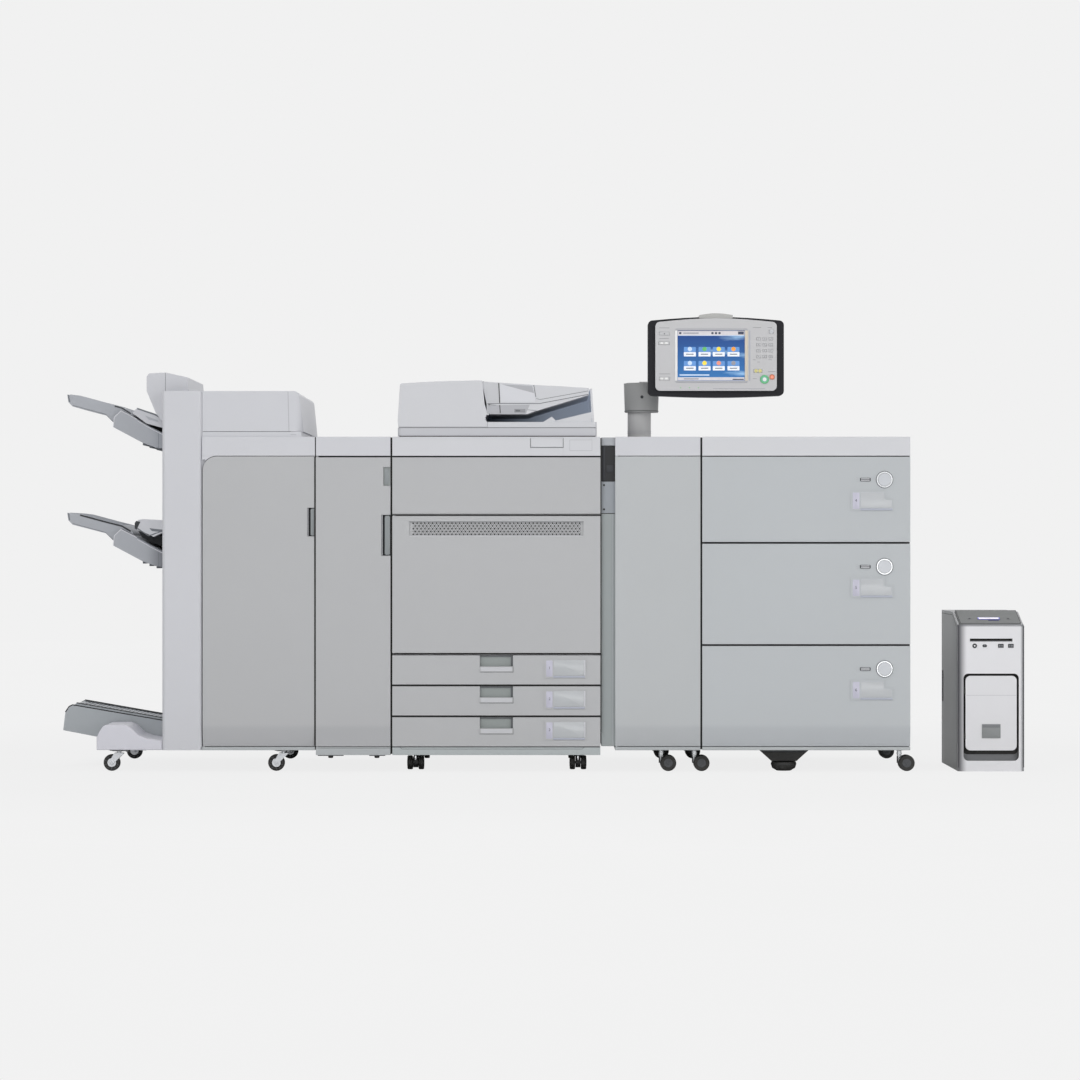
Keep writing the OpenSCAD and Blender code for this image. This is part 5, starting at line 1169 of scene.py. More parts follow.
def makeTops():
    # lid seams on the cabinets' flat tops, the collar's rings, the post's flange
    bm = bmesh.new()
    top = atTop(lineTop)
    for x0, x1, y1 in ((480, 705, 708), (1408, 1666, 768), (1680, 2315, 768)):
        prism(bm, top, strip([(x0, 12), (x1, 12), (x1, y1), (x0, y1), (x0, 12)], 1.4), 0, 0.3)
    prism(bm, top, rect(1960, 12.6, 1961.4, 767), 0, 0.3)
    settle(bm, "topSeams", "line", "softSeam")
    bm = bmesh.new()
    turned(bm, top, post["x"], post["y"], [(37.2, 0), (47, 0), (47, 3), (43, 6), (37.2, 6.6), (37.2, 0)], 0,
            48)
    for lift in (18, 24):
        turned(bm, top, post["x"], post["y"], hoop(37.1, 37.9, lift, lift + 1.6, 0.3), 1, 48)
    settle(bm, "postFlange", "line", "post softSeam")
    bm = bmesh.new()
    turned(bm, atTop(1124.3), post["armX"], post["y"], [(53.2, 3.4), (54.2, 3.4), (54.3, 5), (53.4, 5),
            (53.2, 3.4)], 0, 48)
    turned(bm, atTop(1216.3), post["armX"], post["y"], [(0, 0), (50, 0), (50, 0.8), (48, 1.6), (0, 1.8)], 1,
            48)
    turned(bm, atFront(214.8), post["armX"], 1172, disc(5, -2.2, 0.4), 0, 20)
    for x in (1600, 1680):
        prism(bm, atFront(248), rect(x - 12, 1196, x + 12, 1208, 3), 0, 0.8, soft=0.3)
    settle(bm, "collarRings", "console_arm", "liner collar")


def makeRelaySlot():
    bm = bmesh.new()
    prism(bm, atRight(1657.2), rect(7, 703, 21.4, 785, 2), 0, 0.8)
    for lift in range(708, 780, 9):
        prism(bm, atRight(1657.2), rect(8, lift, 20.4, lift + 3), 0.8, 1.4)
    settle(bm, "relayFingerSlot", "relay_door", "liner")


makeDuct()
makeDeckFronts()
makeTops()
makeRelaySlot()

# console: raised screen frame, picture on the screen, small keys and marks, rear vents

console = {
    "front": 106, "glass": 108, "keys": 104, "rear": 164, "screen": (1602.3, 1812.7, 1218.3, 1375.7),
    "tilesX": (1622.2, 1668.2, 1712.7, 1758.7),
    "tileW": 37.5, "tilesZ": (1294.5, 1250.6), "tileH": 29.5,
    "padX": (1855.6, 1875.0, 1894.4), "padZ": (1349.5, 1330.8, 1312.2, 1293.5),
}


def makeScreen():
    x0, x1, z0, z1 = console["screen"]
    bm = bmesh.new()
    seat = atFront(console["front"])
    outer = (x0 - 8.4, x1 + 10.4, z0 - 6.6, z1 + 6)
    prisms(bm, seat, [
        (rect(outer[0], z0 - 0.2, x0, z1 + 0.2), 0, 1.5, 1, 0.5),
        (rect(x1, z0 - 0.2, outer[1], z1 + 0.2), 0, 1.5, 2, 0.5),
        ([(outer[0], z1), (x0, z1), (x1, z1), (outer[1], z1), (outer[1] - 4, outer[3]),
         (outer[0] + 4, outer[3])], 0, 1.5, 0, 0.5),
        ([(outer[0] + 4, outer[2]), (outer[1] - 4, outer[2]), (outer[1], z0), (outer[0], z0)], 0, 1.5, 0,
         0.5),
        (strip([(outer[1] + 5, z0), (outer[1] + 5, z1)], 3), 0, 0.4, 3),
        (rect(1713, 1192.6, 1876, 1194.6), 0, 0.3),
    ])
    settle(bm, "screenFrame", "console", "softSeam padWhite beige labelBlue")
    bm = bmesh.new()
    glass = atFront(console["glass"])
    prisms(bm, glass, [
        (rect(x0 + 1, z1 - 15, x1 - 1, z1 - 1.5), 0, 0.25),
        (rect(x0 + 1, z0 + 1, x1 - 1, z0 + 11), 0, 0.25),
        (rect(x0 + 1, z1 - 16.5, x1 - 1, z1 - 15), 0, 0.3, 2),
        (rect(x0 + 6, z0 + 16, x0 + 100, z0 + 20, 2), 0, 0.3, 2),
    ])
    for k in range(8):
        x = console["tilesX"][k % 4]
        z = console["tilesZ"][k // 4]
        w, h = console["tileW"], console["tileH"]
        prisms(bm, glass, [
            (rect(x, z + h * 0.48, x + w, z + h, 2), 0, 0.25, 1),
            (rect(x, z, x + w, z + h * 0.46, 1.5), 0, 0.3, 3),
            (rect(x + 7, z + 5.6, x + w - 7, z + 8.2, 1), 0.3, 0.5, 4),
        ])
    for x in (x0 + 5, x0 + 106, x0 + 117, x0 + 128):
        prism(bm, glass, rect(x, z1 - 11.5, x + 7, z1 - 5, 2), 0.25, 0.5, 4)
    prisms(bm, glass, [
        (rect(x0 + 18, z1 - 10, x0 + 66, z1 - 6.5, 1), 0.25, 0.45, 5),
        (rect(x1 - 21, z1 - 12.5, x1 - 3, z1 - 3.5, 1), 0.25, 0.5, 4),
        (rect(x0 + 20, z0 + 4, x0 + 66, z0 + 7.5, 1), 0.25, 0.45, 5),
        (rect(x1 - 38, z0 + 2.6, x1 - 3, z0 + 6, 1), 0.25, 0.5, 4),
    ])
    settle(bm, "screenPicture", "console", "litStrip litPanel litPale litTile litInk litMid")
    bm = bmesh.new()
    for k in range(8):
        x = console["tilesX"][k % 4] + console["tileW"] * 0.5
        z = console["tilesZ"][k // 4] + console["tileH"] * 0.78
        turned(bm, glass, x, z, [(0, 0.2), (7, 0.2), (6.4, 0.5), (4, 0.8), (0, 0.9)],
                (0, 1, 2, 3, 0, 2, 4, 5)[k], 20)
    settle(bm, "screenBalls", "console", "litPale litGreen litYellow litOrange litRose litMid")


def makeKeys():
    bm = bmesh.new()
    seat = atFront(console["keys"])
    for x in (1848.2, 1860.6):
        turned(bm, seat, x, 1249, [(0, -0.1), (5.6, -0.1), (5.4, 0.5), (3.6, 1.0), (0, 1.2)], 0, 24)
    turned(bm, seat, 1896, 1372, [(0, -0.1), (6.6, -0.1), (6.4, 0.5), (5, 0.9), (0, 1.0)], 1, 28)
    prism(bm, seat, [(1558.5, 1363.6), (1563.5, 1363.6), (1561, 1368.2)], 0, 0.3, 2)
    for x in (1553, 1567):
        for z, h in ((1336, 5.6), (1225, 5.6)):
            prism(bm, seat, rect(x - 5, z - h / 2, x + 5, z + h / 2, 2), 0, 0.4, 3, soft=0.15)
    settle(bm, "keyCaps", "keypad", "keyYellow buttonFace ink padWhite")
    signs = ["1", "2", "3", "4", "5", "6", "7", "8", "9", "*", "0", "#"]
    figures("keyFigures", "keypad", "ink",
            [(sign, console["padX"][k % 3], 103.95, console["padZ"][k // 3])
             for k, sign in enumerate(signs)], 4.4, 0.15)
    bm = bmesh.new()
    turned(bm, seat, 1874.6, 1222.5, hoop(10.4, 12.4, -0.1, 0.6, 0.2), 0, 32)
    turned(bm, seat, 1874.6, 1222.5, [(0, -0.1), (6.2, -0.1), (6, 0.4), (0, 0.6)], 1, 28)
    settle(bm, "startKeyFace", "start_key", "litGreen padWhite")
    bm = bmesh.new()
    turned(bm, seat, 1898, 1230, [(0, -0.1), (4.8, -0.1), (4.6, 0.4), (0, 0.6)], 0, 24)
    settle(bm, "stopKeyFace", "stop_key", "litRose")
    bm = bmesh.new()
    face = atFront(console["front"])
    for x, z, w in ((1545, 1383, 32), (1545, 1350, 30), (1545, 1239, 34), (1838, 1384, 26), (1884, 1384, 14),
                    (1838, 1283, 9), (1886, 1283, 12), (1838, 1224, 12), (1886, 1246, 22), (1852, 1276, 8)):
        prism(bm, face, rect(x, z, x + w, z + 1.5), 0, 0.2)
    for x in (1612, 1640, 1668):
        turned(bm, face, x, 1196.5, disc(1.6, 0, 0.4, 0.2), 1, 16)
    settle(bm, "consoleMarks", "console", "inkSoft litGreen")


def makeConsoleRear():
    bm = bmesh.new()
    back = atBack(console["rear"])
    prism(bm, back, rect(1540, 1196, 1906, 1392, 14), 0, 1.4, soft=0.6)
    for x in (1552, 1894):
        for z in (1208, 1380):
            turned(bm, back, x, z, hoop(2.6, 5, 1.4, 2.4, 0.3), 1, 20)
            turned(bm, back, x, z, disc(2.5, 1.4, 1.9, 0.2), 2, 16)
    prism(bm, back, rect(1770, 1200, 1812, 1214, 3), 1.4, 5, 1, soft=0.8)
    settle(bm, "consoleRear", "console", "charcoal sealBlack chrome")
    # black bars standing for the rear vent slots, painted shade of the openings
    bm = bmesh.new()
    prism(bm, back, rect(1580, 1330, 1584, 1374, 1.6), 1.4, 2.6, soft=0.5)
    rows(bm, "consoleVents", "console", "sealBlack", 36, (8, 0, 0))
    paintFaces("console_back", "cap", lambda x, y, z, n: 1669 < x < 1777 and z > 1413.9 and y < 157.2
            and not (n.y < -0.5 and y > 112))


makeScreen()
makeKeys()
makeConsoleRear()
print("stage: console, relay and deck dressed")


# print server

server = {"left": 2472, "front": 40, "face": 40.1, "bay": (2489.8, 2661.2, 33.4, 303.6), "bayBack": 61.9,
          "ports": (2525.8, 2556.9, 2604.5, 2635.5), "portZ": 387,
          "icons": (2524.2, 2555.4, 2605.6, 2636.8), "iconZ": 390.6}


def slope(u, w, v):
    # a seat on the sloping panel: u along the line, v up the slope, w off its surface
    return (u, 62 + v * 0.9587 - w * 0.2846, 456 + v * 0.2846 + w * 0.9587)


def makeServer():
    x0, x1, z0, z1 = server["bay"]
    # the back of the bay in black, painted shade, above a grey sill
    bm = bmesh.new()
    prisms(bm, atFront(server["bayBack"]), [
        (rect(x0, 52, x1, z1, 14), 0, 0.5),
        (rect(x0 + 1, z0, x1 - 1, 51.6, 8), 0, 0.5, 1),
    ])
    settle(bm, "bayBackShade", "line", "sealBlack serverSill")
    # the inner walls of the bay and of the disc slot painted black as shade
    paintFaces("server_bezel", "sealBlack", lambda x, y, z, n: n.y > -0.6 and y > 40.05 and (
        (2488 < x < 2663 and 32 < z < 305) or (2508 < x < 2643 and 381 < z < 414)))
    paintFaces("server_bezel", "serverSill", lambda x, y, z, n: n.z > 0.6 and 32 < z < 40 and y > 40.05)
    paintFaces("server_case", "serverTop", lambda x, y, z, n: n.z > 0.6)
    bm = bmesh.new()
    front = atFront(server["front"])
    prisms(bm, front, [
        (rect(2498, 236.2, 2653, 237.2), 0, 0.25),
        # a white line near the door's left edge, a painted highlight
        (strip([(2499, 281), (2499, 80)], 0.9), 0, 0.2, 1),
    ])
    badge = atFront(38.5)
    prisms(bm, badge, [
        (rect(2547.6, 104, 2603.4, 146, 1), 0, 0.4, 2, 0.2),
        (rect(2548.6, 136.4, 2602.4, 145.2, 0.6), 0.4, 0.8, 3, 0.2),
    ])
    settle(bm, "serverDoorTrim", "server_door", "softSeam padWhite badge serverSill")
    paintFaces("server_door", "badge", lambda x, y, z, n: y < 39.9)
    # the door's faces at its left edge painted black as shade of the gap
    paintFaces("server_door", "sealBlack", lambda x, y, z, n: x < 2495.6)
    bm = bmesh.new()
    slot = atFront(51.6)
    # the disc slot black inside, painted shade, over a grey lip
    prisms(bm, slot, [
        (rect(2510, 404.4, 2641, 412.6), 0, 1),
        (rect(2511, 404.4, 2640, 406.6), 1, 9.6, 1, 0.5),
    ])
    prism(bm, atFront(server["face"]), strip([(2507, 402.2), (2644, 402.2)], 3.2), 0, 0.4, 4)
    port = atFront(43.9)
    for x in server["ports"]:
        prism(bm, port, rect(x - 9, server["portZ"] - 5, x + 9, server["portZ"] + 5), 0, 3.8, 4)
    face = atFront(server["face"])
    p = server["icons"]
    z = server["iconZ"]
    turned(bm, face, p[0], z, hoop(2.6, 7.2, 0, 0.6, 0.2), 3, 28)
    turned(bm, face, p[0], z, disc(2.5, 0, 0.5, 0.1), 2, 16)
    prisms(bm, face, [
        (rect(p[1] - 7, z - 4.6, p[1] + 7, z + 4.6, 4.4), 0, 0.5, 3, 0.2),
        (rect(p[1] - 3, z - 1, p[1] + 3, z + 1, 0.9), 0.5, 0.7, 1),
        # dark strips down the face's rounded side edges and a dark line under the panel, painted shade
        (strip([(2474.2, 12), (2474.2, 452)], 2.2), 0, 0.3, 3),
        (strip([(2676.8, 12), (2676.8, 452)], 2.6), 0, 0.3, 3),
        (strip([(2475.6, 453), (2675.2, 453)], 2.0), 0, 0.3, 1),
    ])
    for x, marks in ((p[2], ((-6.4, -1), (1.4, 6.4))), (p[3], ((-6, -3), (-1, 6.4)))):
        prism(bm, face, rect(x - 8.8, z - 6, x + 8.8, z + 6, 1.2), 0, 0.5, 3, soft=0.2)
        for a, b in marks:
            prism(bm, face, rect(x + a, z - 2.6, x + b, z + 2.6, 0.8), 0.5, 0.7, 1)
    settle(bm, "serverPorts", "line", "sealBlack serverSill padWhite liner serverDoor")
    bm = bmesh.new()
    prisms(bm, slope, [
        (rect(2541, 34.6, 2610, 54.4, 3), 5.8, 6.6, 0, 0.3),
        (rect(2544.5, 37, 2606.5, 50.6, 1.5), 6.6, 7.0, 1),
        (rect(2572, 24, 2606, 30.6, 3), 5.0, 5.9, 2, 0.4),
    ])
    for x in (2515, 2636):
        turned(bm, slope, x, 44, hoop(4.4, 6.2, 5.0, 6.2, 0.3), 3, 24)
        turned(bm, slope, x, 44, disc(4.3, 5.0, 5.7, 0.4), 2, 20)
    for x in (2481.6, 2669.6):
        prism(bm, slope, rect(x, 3, x + 1.6, 130), 5.05, 5.4, 2)
    settle(bm, "serverDisplay", "line", "litBlue litStrip sealBlack serverSill")
    # side cover's seam and stepped grip
    bm = bmesh.new()
    side = atLeft(server["left"])
    prisms(bm, side, [
        (strip([(74, 10), (74, 448), (186, 484), (476, 484), (476, 10)], 1.2), 0, 0.3),
        (rect(440, 200, 468, 300, 6), 0, 0.5),
    ])
    for z in range(206, 296, 9):
        prism(bm, side, rect(443, z, 465, z + 4, 1.8), 0.5, 1.6, 1, soft=0.5)
    settle(bm, "serverSide", "line", "sealBlack serverSill")


makeServer()

# casters

casters = {
    "zinc": (-163, 350), "zincY": (70, 690), "zincAxle": 26, "zincPlate": 64, "baseUnder": 68.4,
    "twin": {"relay_wheels": 1571.3, "deck_wheels_left": 1675, "deck_wheels_right": 2314},
    "twinY": (70, 710), "twinAxle": 25, "twinPlate": 68,
    "engineX": (782, 1291), "engineY": (140, 710), "engineAxle": 22,
}


def makeCasters():
    paintFaces("caster_forks", "sealBlack", lambda x, y, z, n: x < 600 and z > 63.6)
    paintFaces("caster_forks", "casterHood", lambda x, y, z, n: x > 600)
    paintFaces("caster_forks", "chrome", lambda x, y, z, n: x > 1400 and z > 46 and any(
        abs(x - s + 22) < 7.4 and min(abs(y - 70), abs(y - 710)) < 7.4
        for s in casters["twin"].values()) and abs(n.z) < 0.5)
    bm = bmesh.new()
    for x in casters["zinc"]:
        for y in casters["zincY"]:
            for seat in (atFront(y - 14), atBack(y + 14)):
                turned(bm, seat, x, casters["zincAxle"],
                        [(0, 0), (7, 0), (7, 0.8), (4.8, 1.0), (4.6, 3.2), (3.6, 3.8), (0, 3.8)], 0, 6)
            turned(bm, atUnder(casters["zincPlate"]), x + 22, y, hoop(7.4, 15, 0, 3, 0.8), 0, 32)
            prism(bm, atUnder(casters["baseUnder"]), rect(x - 8, y - 24, x + 52, y + 24, 3), 0, 3.4, 1,
                    soft=0.8)
            prism(bm, atUnder(65), rect(x + 44, y - 20, x + 52, y + 20, 2), 0, 4.5, 1, soft=0.8)
            for dx in (-16, 16):
                for dy in (-18, 18):
                    turned(bm, atUnder(casters["zincPlate"]), x + 22 + dx, y + dy, disc(4, 0, 2.2, 0.5), 0, 6)
    prism(bm, atUnder(casters["baseUnder"]), rect(-84, 60, -56, 96, 2), 0, 4.4, 1, soft=0.8)
    settle(bm, "casterPlates", "line", "zinc sealBlack")
    for body, x in (("finisher_wheels_left", casters["zinc"][0]),
            ("finisher_wheels_right", casters["zinc"][1])):
        bm = bmesh.new()
        for y in casters["zincY"]:
            for seat in (atFront(y - 10), atBack(y + 10)):
                turned(bm, seat, x, casters["zincAxle"], hoop(7, 13.5, -0.2, 0.6, 0.2), 0, 32)
        settle(bm, body + "Hubs", body, "zinc")
        bm = bmesh.new()
        for side in (-9.9, 9.5):
            prism(bm, atBack(side), [(-1, 14), (1, 14), (1.6, 22), (-1.6, 22)], 0, 0.4)
        for k, y in enumerate(casters["zincY"]):
            spread(bm.copy() if k == 0 else bm, body + "Spokes%d" % (k + 1), body, "hub", ringTree,
                   {"Count": 10, "Centre": at(x, y, casters["zincAxle"]), "Axis": (0, 1, 0)}, placed=False)
    for body, x in casters["twin"].items():
        bm = bmesh.new()
        caps = bmesh.new()
        for y in casters["twinY"]:
            for seat in (atFront(y - 21), atBack(y + 21)):
                turned(bm, seat, x, casters["twinAxle"],
                        [(0, -0.2), (13.6, -0.2), (13.6, 0.3), (12.4, 0.7), (5, 0.5), (4.4, 1.1), (0, 1.3)],
                        0, 32)
                turned(bm, seat, x, casters["twinAxle"], hoop(17.4, 18.6, -0.2, 0.4, 0.15), 1, 40)
        settle(bm, body + "Hubs", body, "hub wheel")
        for side in (-22.0, 21.3):
            prism(caps, atBack(side), [(-1.2, 6.4), (1.2, 6.4), (1.8, 11.6), (-1.8, 11.6)], 0, 0.7)
        for k, y in enumerate(casters["twinY"]):
            spread(caps.copy() if k == 0 else caps, body + "Spokes%d" % (k + 1), body, "hub",
                    ringTree,
                   {"Count": 8, "Centre": at(x, y, casters["twinAxle"]), "Axis": (0, 1, 0)}, placed=False)
    bm = bmesh.new()
    for x in casters["twin"].values():
        for y in casters["twinY"]:
            turned(bm, atUnder(casters["twinPlate"]), x - 22, y,
                    [(7.3, 0), (16, 0), (16, 2.2), (13, 4), (7.3, 4.6), (7.3, 0)], 0, 32)
            turned(bm, atUnder(casters["twinPlate"]), x - 22, y, hoop(7.2, 8.6, 12, 14.4, 0.4), 1, 28)
    for x in casters["engineX"]:
        for y in casters["engineY"]:
            turned(bm, atUnder(engine["under"]), x, y + 11,
                    [(7.3, 0), (17, 0), (17, 1.6), (12, 3.2), (7.3, 3.6), (7.3, 0)], 0, 32)
            prism(bm, atFront(y - 16), [(x - 3, 30), (x + 3, 30), (x + 3, 46), (x - 3, 46)], -4, 3.5, 1,
                    soft=0.8)
            prism(bm, atFront(y - 15), [(x - 7.4, 24), (x + 7.4, 24), (x + 7, 31), (x - 7, 31)], -6, 3,
                    soft=1.2)
    settle(bm, "casterCollars", "line", "casterHood chrome")
    for body, y in (("engine_wheels_front", casters["engineY"][0]),
            ("engine_wheels_rear", casters["engineY"][1])):
        bm = bmesh.new()
        for x in casters["engineX"]:
            for seat in (atLeft(x - 26), atRight(x + 26)):
                turned(bm, seat, y, casters["engineAxle"],
                        [(0, -0.2), (12, -0.2), (12, 0.3), (10.6, 0.7), (0, 0.9)], 0, 32)
        settle(bm, body + "Hubs", body, "hub")
    bm = bmesh.new()
    under = atUnder(casters["twinPlate"])
    prism(bm, atFront(69.6), [(1864, 58), (2002, 58), (2006, 66), (1860, 66)], 0, 1.4, soft=0.5)
    for x in (1872, 1994):
        turned(bm, under, x, 90, disc(4.4, 0.2, 3.4, 0.8), 1, 6)
    turned(bm, atTop(0), 1933, 90, hoop(38.6, 40, 19.4, 21.4, 0.5), 0, 48)
    settle(bm, "deckFootTrim", "line", "liner zinc")


makeCasters()

# rear and side panels

panels = {
    "rear": [("finisher", 760, 140, 462, 100, 960), ("coupler", 720, 484, 700, 100, 960),
             ("relay", 780, 1414, 1660, 100, 960), ("deck", 780, 1690, 2306, 100, 960),
             ("server", 485, 2482, 2669, 14, 484)],
    "vents": [("finisher", atBack, 760, 180, 420, 640, 860), ("relay", atBack, 780, 1440, 1634, 560, 860),
              ("deckLow", atBack, 780, 1740, 1960, 150, 300), ("deckHigh", atBack, 780, 2030, 2250, 640, 860),
              ("server", atBack, 485, 2500, 2651, 300, 452), ("deckSide", atRight, 2320, 560, 730, 150, 330),
              ("deckSideHigh", atRight, 2320, 560, 730, 640, 880),
              ("columnSide", atLeft, 0, 560, 720, 900, 1100)],
    "slatPitch": 9.5, "inlets": [("finisher", 760, 200, 130), ("coupler", 720, 520, 130),
            ("deck", 780, 1730, 118), ("server", 485, 2520, 40)],
}


def makeVents():
    for name, facing, surface, u0, u1, v0, v1 in panels["vents"]:
        seat = facing(surface)
        bm = bmesh.new()
        # a black plate behind the slats, painted shade between them
        prism(bm, seat, rect(u0 + 2, v0 + 2, u1 - 2, v1 - 2, 4), 0, 0.4)
        for ring in ((u0, v0, u1, v0 + 5), (u0, v1 - 5, u1, v1), (u0, v0 + 5, u0 + 5, v1 - 5),
                (u1 - 5, v0 + 5, u1, v1 - 5)):
            prism(bm, seat, rect(*ring), 0, 2.4, 1, soft=0.6)
        settle(bm, name + "VentFrame", "line", "sealBlack sheet")
        pitch = panels["slatPitch"]
        count = int((v1 - v0 - 12) / pitch)
        low = v0 + (v1 - v0 - count * pitch) / 2 + 2
        bm = bmesh.new()
        prism(bm, seat, rect(u0 + 5, low, u1 - 5, low + 5.2), 0.4, 2.2, soft=0.9)
        rows(bm, name + "Slats", "line", "sheet", count, (0, 0, pitch))


def makeRearPanels():
    bm = bmesh.new()
    for name, surface, x0, x1, z0, z1 in panels["rear"]:
        seat = atBack(surface)
        prism(bm, seat, strip([(x0, z0), (x1, z0), (x1, z1), (x0, z1), (x0, z0)], 1.4), 0, 0.3)
        inner = (x0 + 12, z0 + 10, x1 - 12, z0 + (z1 - z0) * 0.22)
        prism(bm, seat, rect(*inner, 4), 0, 1.0, 1, soft=0.5)
    for name, surface, x, z in panels["inlets"]:
        seat = atBack(surface)
        prisms(bm, seat, [
            (rect(x, z, x + 46, z + 30, 3), 1.0, 2.6, 2, 0.6),
            (rect(x + 8, z + 5, x + 38, z + 25, 4), 2.6, 4.2, 3, 0.5),
        ])
        for dx in (15, 23, 31):
            prism(bm, seat, rect(x + dx - 1, z + 10, x + dx + 1, z + 20), 4.2, 4.5, 4)
    settle(bm, "rearPanels", "line", "seam sheet liner sealBlack chrome")
    for name, surface, x0, x1, z0, z1 in panels["rear"]:
        bm = bmesh.new()
        seat = atBack(surface)
        turned(bm, seat, x0 + 6, z0 + 6, [(0, 0), (3.6, 0), (3.4, 1.2), (1.4, 1.7), (1.2, 1.0), (0, 1.0)],
                0, 14)
        rows(bm, name + "Screws", "line", "zinc", 2, (x1 - x0 - 12, 0, 0), 5,
                (0, 0, (z1 - z0 - 12) / 4))
    bm = bmesh.new()
    seat = atBack(485)
    for x, z, w, h in ((2510, 220, 16, 14), (2532, 220, 16, 14), (2560, 222, 30, 9), (2604, 220, 14, 14),
                       (2510, 190, 44, 12), (2560, 190, 24, 12), (2604, 190, 14, 14), (2628, 190, 14, 14)):
        prisms(bm, seat, [
            (rect(x, z, x + w, z + h, 1.5), 0, 1.4, 0, 0.4),
            (rect(x + 2.4, z + 2.4, x + w - 2.4, z + h - 2.4, 0.8), 1.4, 1.8, 1),
        ])
    settle(bm, "serverConnectors", "line", "chrome sealBlack")


def makeSides():
    # seams, grips and screws on the faces at both ends of the line
    bm = bmesh.new()
    right = atRight(deck["right"])
    prisms(bm, right, [
        (strip([(24, 84), (24, 972), (772, 972), (772, 84), (24, 84)], 1.4), 0, 0.3),
        (rect(402, 84, 403.4, 972), 0, 0.3),
    ])
    for y in (140, 600):
        prisms(bm, right, [
            (rect(y, 480, y + 110, 512, 8), 0, 0.4, 1),
            (rect(y + 4, 500, y + 106, 511, 4), 0.4, 2.0, 2, 0.7),
        ])
    left = atLeft(0)
    prisms(bm, left, [
        (strip([(16, 160), (16, 1176), (214, 1176)], 1.2), 0, 0.3),
        (strip([(526, 1176), (744, 1176), (744, 160)], 1.2), 0, 0.3),
    ])
    for z in (420, 900):
        for y in (60, 700):
            turned(bm, left, y, z, [(0, 0), (3.6, 0), (3.4, 1.0), (1.4, 1.4), (0, 1.0)], 3, 14)
    settle(bm, "endSeams", "line", "softSeam liner sheet zinc")


makeVents()
makeRearPanels()
makeSides()

# what shows when the covers are open

inside = {
    "bottleX": (791.6, 946.9, 1102.1, 1257.4), "bottleZ": 862.3,
    "bottleCaps": ("tonerYellow", "tonerMagenta", "tonerCyan", "tonerBlack"),
    "knobs": [(320, 90, 790, 1), (250, 90, 470, 2), (590, 90, 660, 1),
              (1540, 90, 720, 1), (1540, 90, 520, 2), (1540, 90, 320, 1)],
}


def makeInside():
    for k, x in enumerate(inside["bottleX"]):
        bm = bmesh.new()
        seat = atBack(44)
        turned(bm, seat, x, inside["bottleZ"], hoop(29.6, 31, 5, 22, 0.6), 0, 40)
        turned(bm, atFront(44), x, inside["bottleZ"], [(0, -0.2), (21, -0.2), (20, 0.8), (0, 1.0)], 0, 36)
        prism(bm, atFront(44), rect(x - 17, inside["bottleZ"] - 3, x + 17, inside["bottleZ"] + 3, 2.5), 0.9,
                4, 1, soft=1)
        settle(bm, "bottleBand%d" % (k + 1), "line", inside["bottleCaps"][k] + " gripLight")
    bm = bmesh.new()
    for x, y, z, slot in inside["knobs"]:
        turned(bm, atFront(y), x, z, [(0, 0), (9, 0), (9, 8), (18, 10), (19, 12), (19, 22), (17, 25),
                (0, 26)], slot, 32)
        prism(bm, atFront(y - 26), rect(x - 16, z - 2.4, x + 16, z + 2.4, 2), 0, 5, soft=1)
    for x in (760, 1240):
        prism(bm, atFront(70), [(x, 560), (x + 12, 560), (x + 16, 590), (x - 4, 590)], 0, 16, 1, soft=2)
    settle(bm, "jamKnobs", "line", "inner lever leverGreen")


makeInside()
print("stage: server, casters, panels and inner parts dressed")

# studio

studio = {
    "cameraDistance": 11.0,
    "fieldWidth": 3.348,
    "eyeHeight": 0.7198,
    "background": srgb(241, 241, 241),
    "worldStrength": 0.385,
    "keyWatts": 117.0,
    "fillWatts": 46.0,
    "lowWatts": 19.0,
    "sideWatts": 29.0,
    "shadowShare": 0.93,
    "fadeFrom": 1.9,
    "fadeTo": 3.2,
    "rimWatts": 75.0,
}


def areaLamp(name, place, target, size, watts):
    data = bpy.data.lights.new(name, "AREA")
    data.shape = "RECTANGLE"
    data.size, data.size_y = size
    data.energy = watts
    lamp = bpy.data.objects.new(name, data)
    bpy.context.scene.collection.objects.link(lamp)
    lamp.location = place
    lamp.rotation_euler = (Vector(target) - Vector(place)).to_track_quat("-Z", "Y").to_euler()
    return lamp


areaLamp("keyLamp", (-2.6, -4.6, 4.2), (0, 0, 0.6), (4.0, 2.6), studio["keyWatts"])
areaLamp("fillLamp", (3.6, -3.8, 2.4), (0.3, 0, 0.6), (2.6, 2.6), studio["fillWatts"])
areaLamp("lowLamp", (0.4, -3.9, 0.45), (0.2, 0, 0.1), (5.0, 0.7), studio["lowWatts"])
areaLamp("sideLamp", (5.0, -0.6, 2.6), (-0.9, 0, 1.0), (2.6, 2.0), studio["sideWatts"])
areaLamp("rearLamp", (0.5, 4.2, 4.0), (0, 0, 0.8), (4.0, 2.0), studio["rimWatts"])


def showBackdrop(tree, lit, seen):
    # camera, mirror and glass rays see the plain backdrop colour
    path = newNode(tree, "LightPath", {})
    direct = maths(tree, "MAXIMUM", path["Is Camera Ray"], path["Is Glossy Ray"])
    share = maths(tree, "MAXIMUM", direct, path["Is Transmission Ray"])
    return newNode(tree, "MixShader", {"Fac": share, 1: lit, 2: seen})["Shader"]


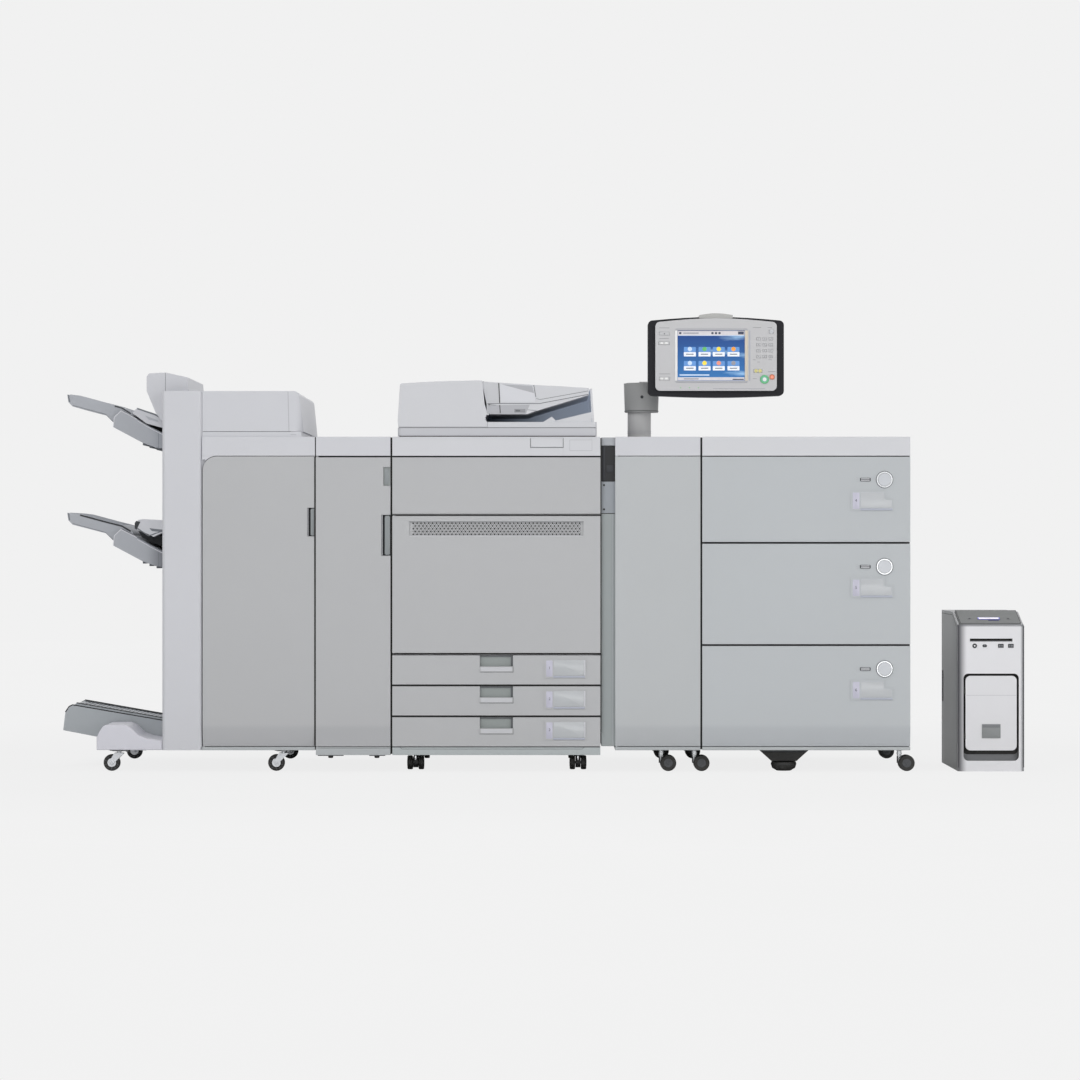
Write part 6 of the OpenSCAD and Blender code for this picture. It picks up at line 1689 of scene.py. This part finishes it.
def makeWorld():
    world = bpy.data.worlds.new("studioWorld")
    bpy.context.scene.world = world
    world.use_nodes = True
    tree = world.node_tree
    tree.nodes.clear()
    lit = newNode(tree, "Background", {"Color": (1, 1, 1, 1), "Strength": studio["worldStrength"]})
    seen = newNode(tree, "Background", {"Color": studio["background"], "Strength": 1.0})
    shown = showBackdrop(tree, lit["Background"], seen["Background"])
    newNode(tree, "OutputWorld", {"Surface": shown})


def makeFloor():
    bm = bmesh.new()
    bmesh.ops.create_grid(bm, x_segments=1, y_segments=1, size=14.0)
    mesh = bpy.data.meshes.new("studioFloor")
    bm.to_mesh(mesh)
    bm.free()
    floor = bpy.data.objects.new("studioFloor", mesh)
    bpy.context.scene.collection.objects.link(floor)
    mat, tree, shader, place = startFinish("studioFloorPaper")
    tone = mixColour(tree, noise(tree, place, 1.2), studio["background"], toned(studio["background"], 1.01))
    setInputs(tree, shader, {"Base Color": tone, "Roughness": 0.9, "Specular IOR Level": 0.0})
    glow = newNode(tree, "Emission", {"Color": tone, "Strength": 1.0})["Emission"]
    # the floor turns into plain backdrop away from the object
    away = newNode(tree, "VectorMath", {0: place}, operation="LENGTH")["Value"]
    fade = ramp(tree, away, studio["fadeFrom"], studio["fadeTo"], studio["shadowShare"])
    share = maths(tree, "MULTIPLY", newNode(tree, "LightPath", {})["Is Camera Ray"], fade)
    mixed = newNode(tree, "MixShader", {"Fac": share, 1: shader.outputs["BSDF"], 2: glow})["Shader"]
    setInputs(tree, tree.nodes["Material Output"], {"Surface": mixed})
    mesh.materials.append(mat)


def makeCamera():
    data = bpy.data.cameras.new("photoCamera")
    data.sensor_width = 36.0
    data.lens = 36.0 * studio["cameraDistance"] / studio["fieldWidth"]
    data.clip_end = 60.0
    camera = bpy.data.objects.new("photoCamera", data)
    bpy.context.scene.collection.objects.link(camera)
    camera.location = (0.0003, -depthMiddle / 1000 - studio["cameraDistance"], studio["eyeHeight"])
    camera.rotation_euler = (math.pi / 2, 0, 0)
    bpy.context.scene.camera = camera


makeWorld()
makeFloor()
makeCamera()
bpy.context.scene.view_settings.view_transform = "Standard"
print("stage: studio made")
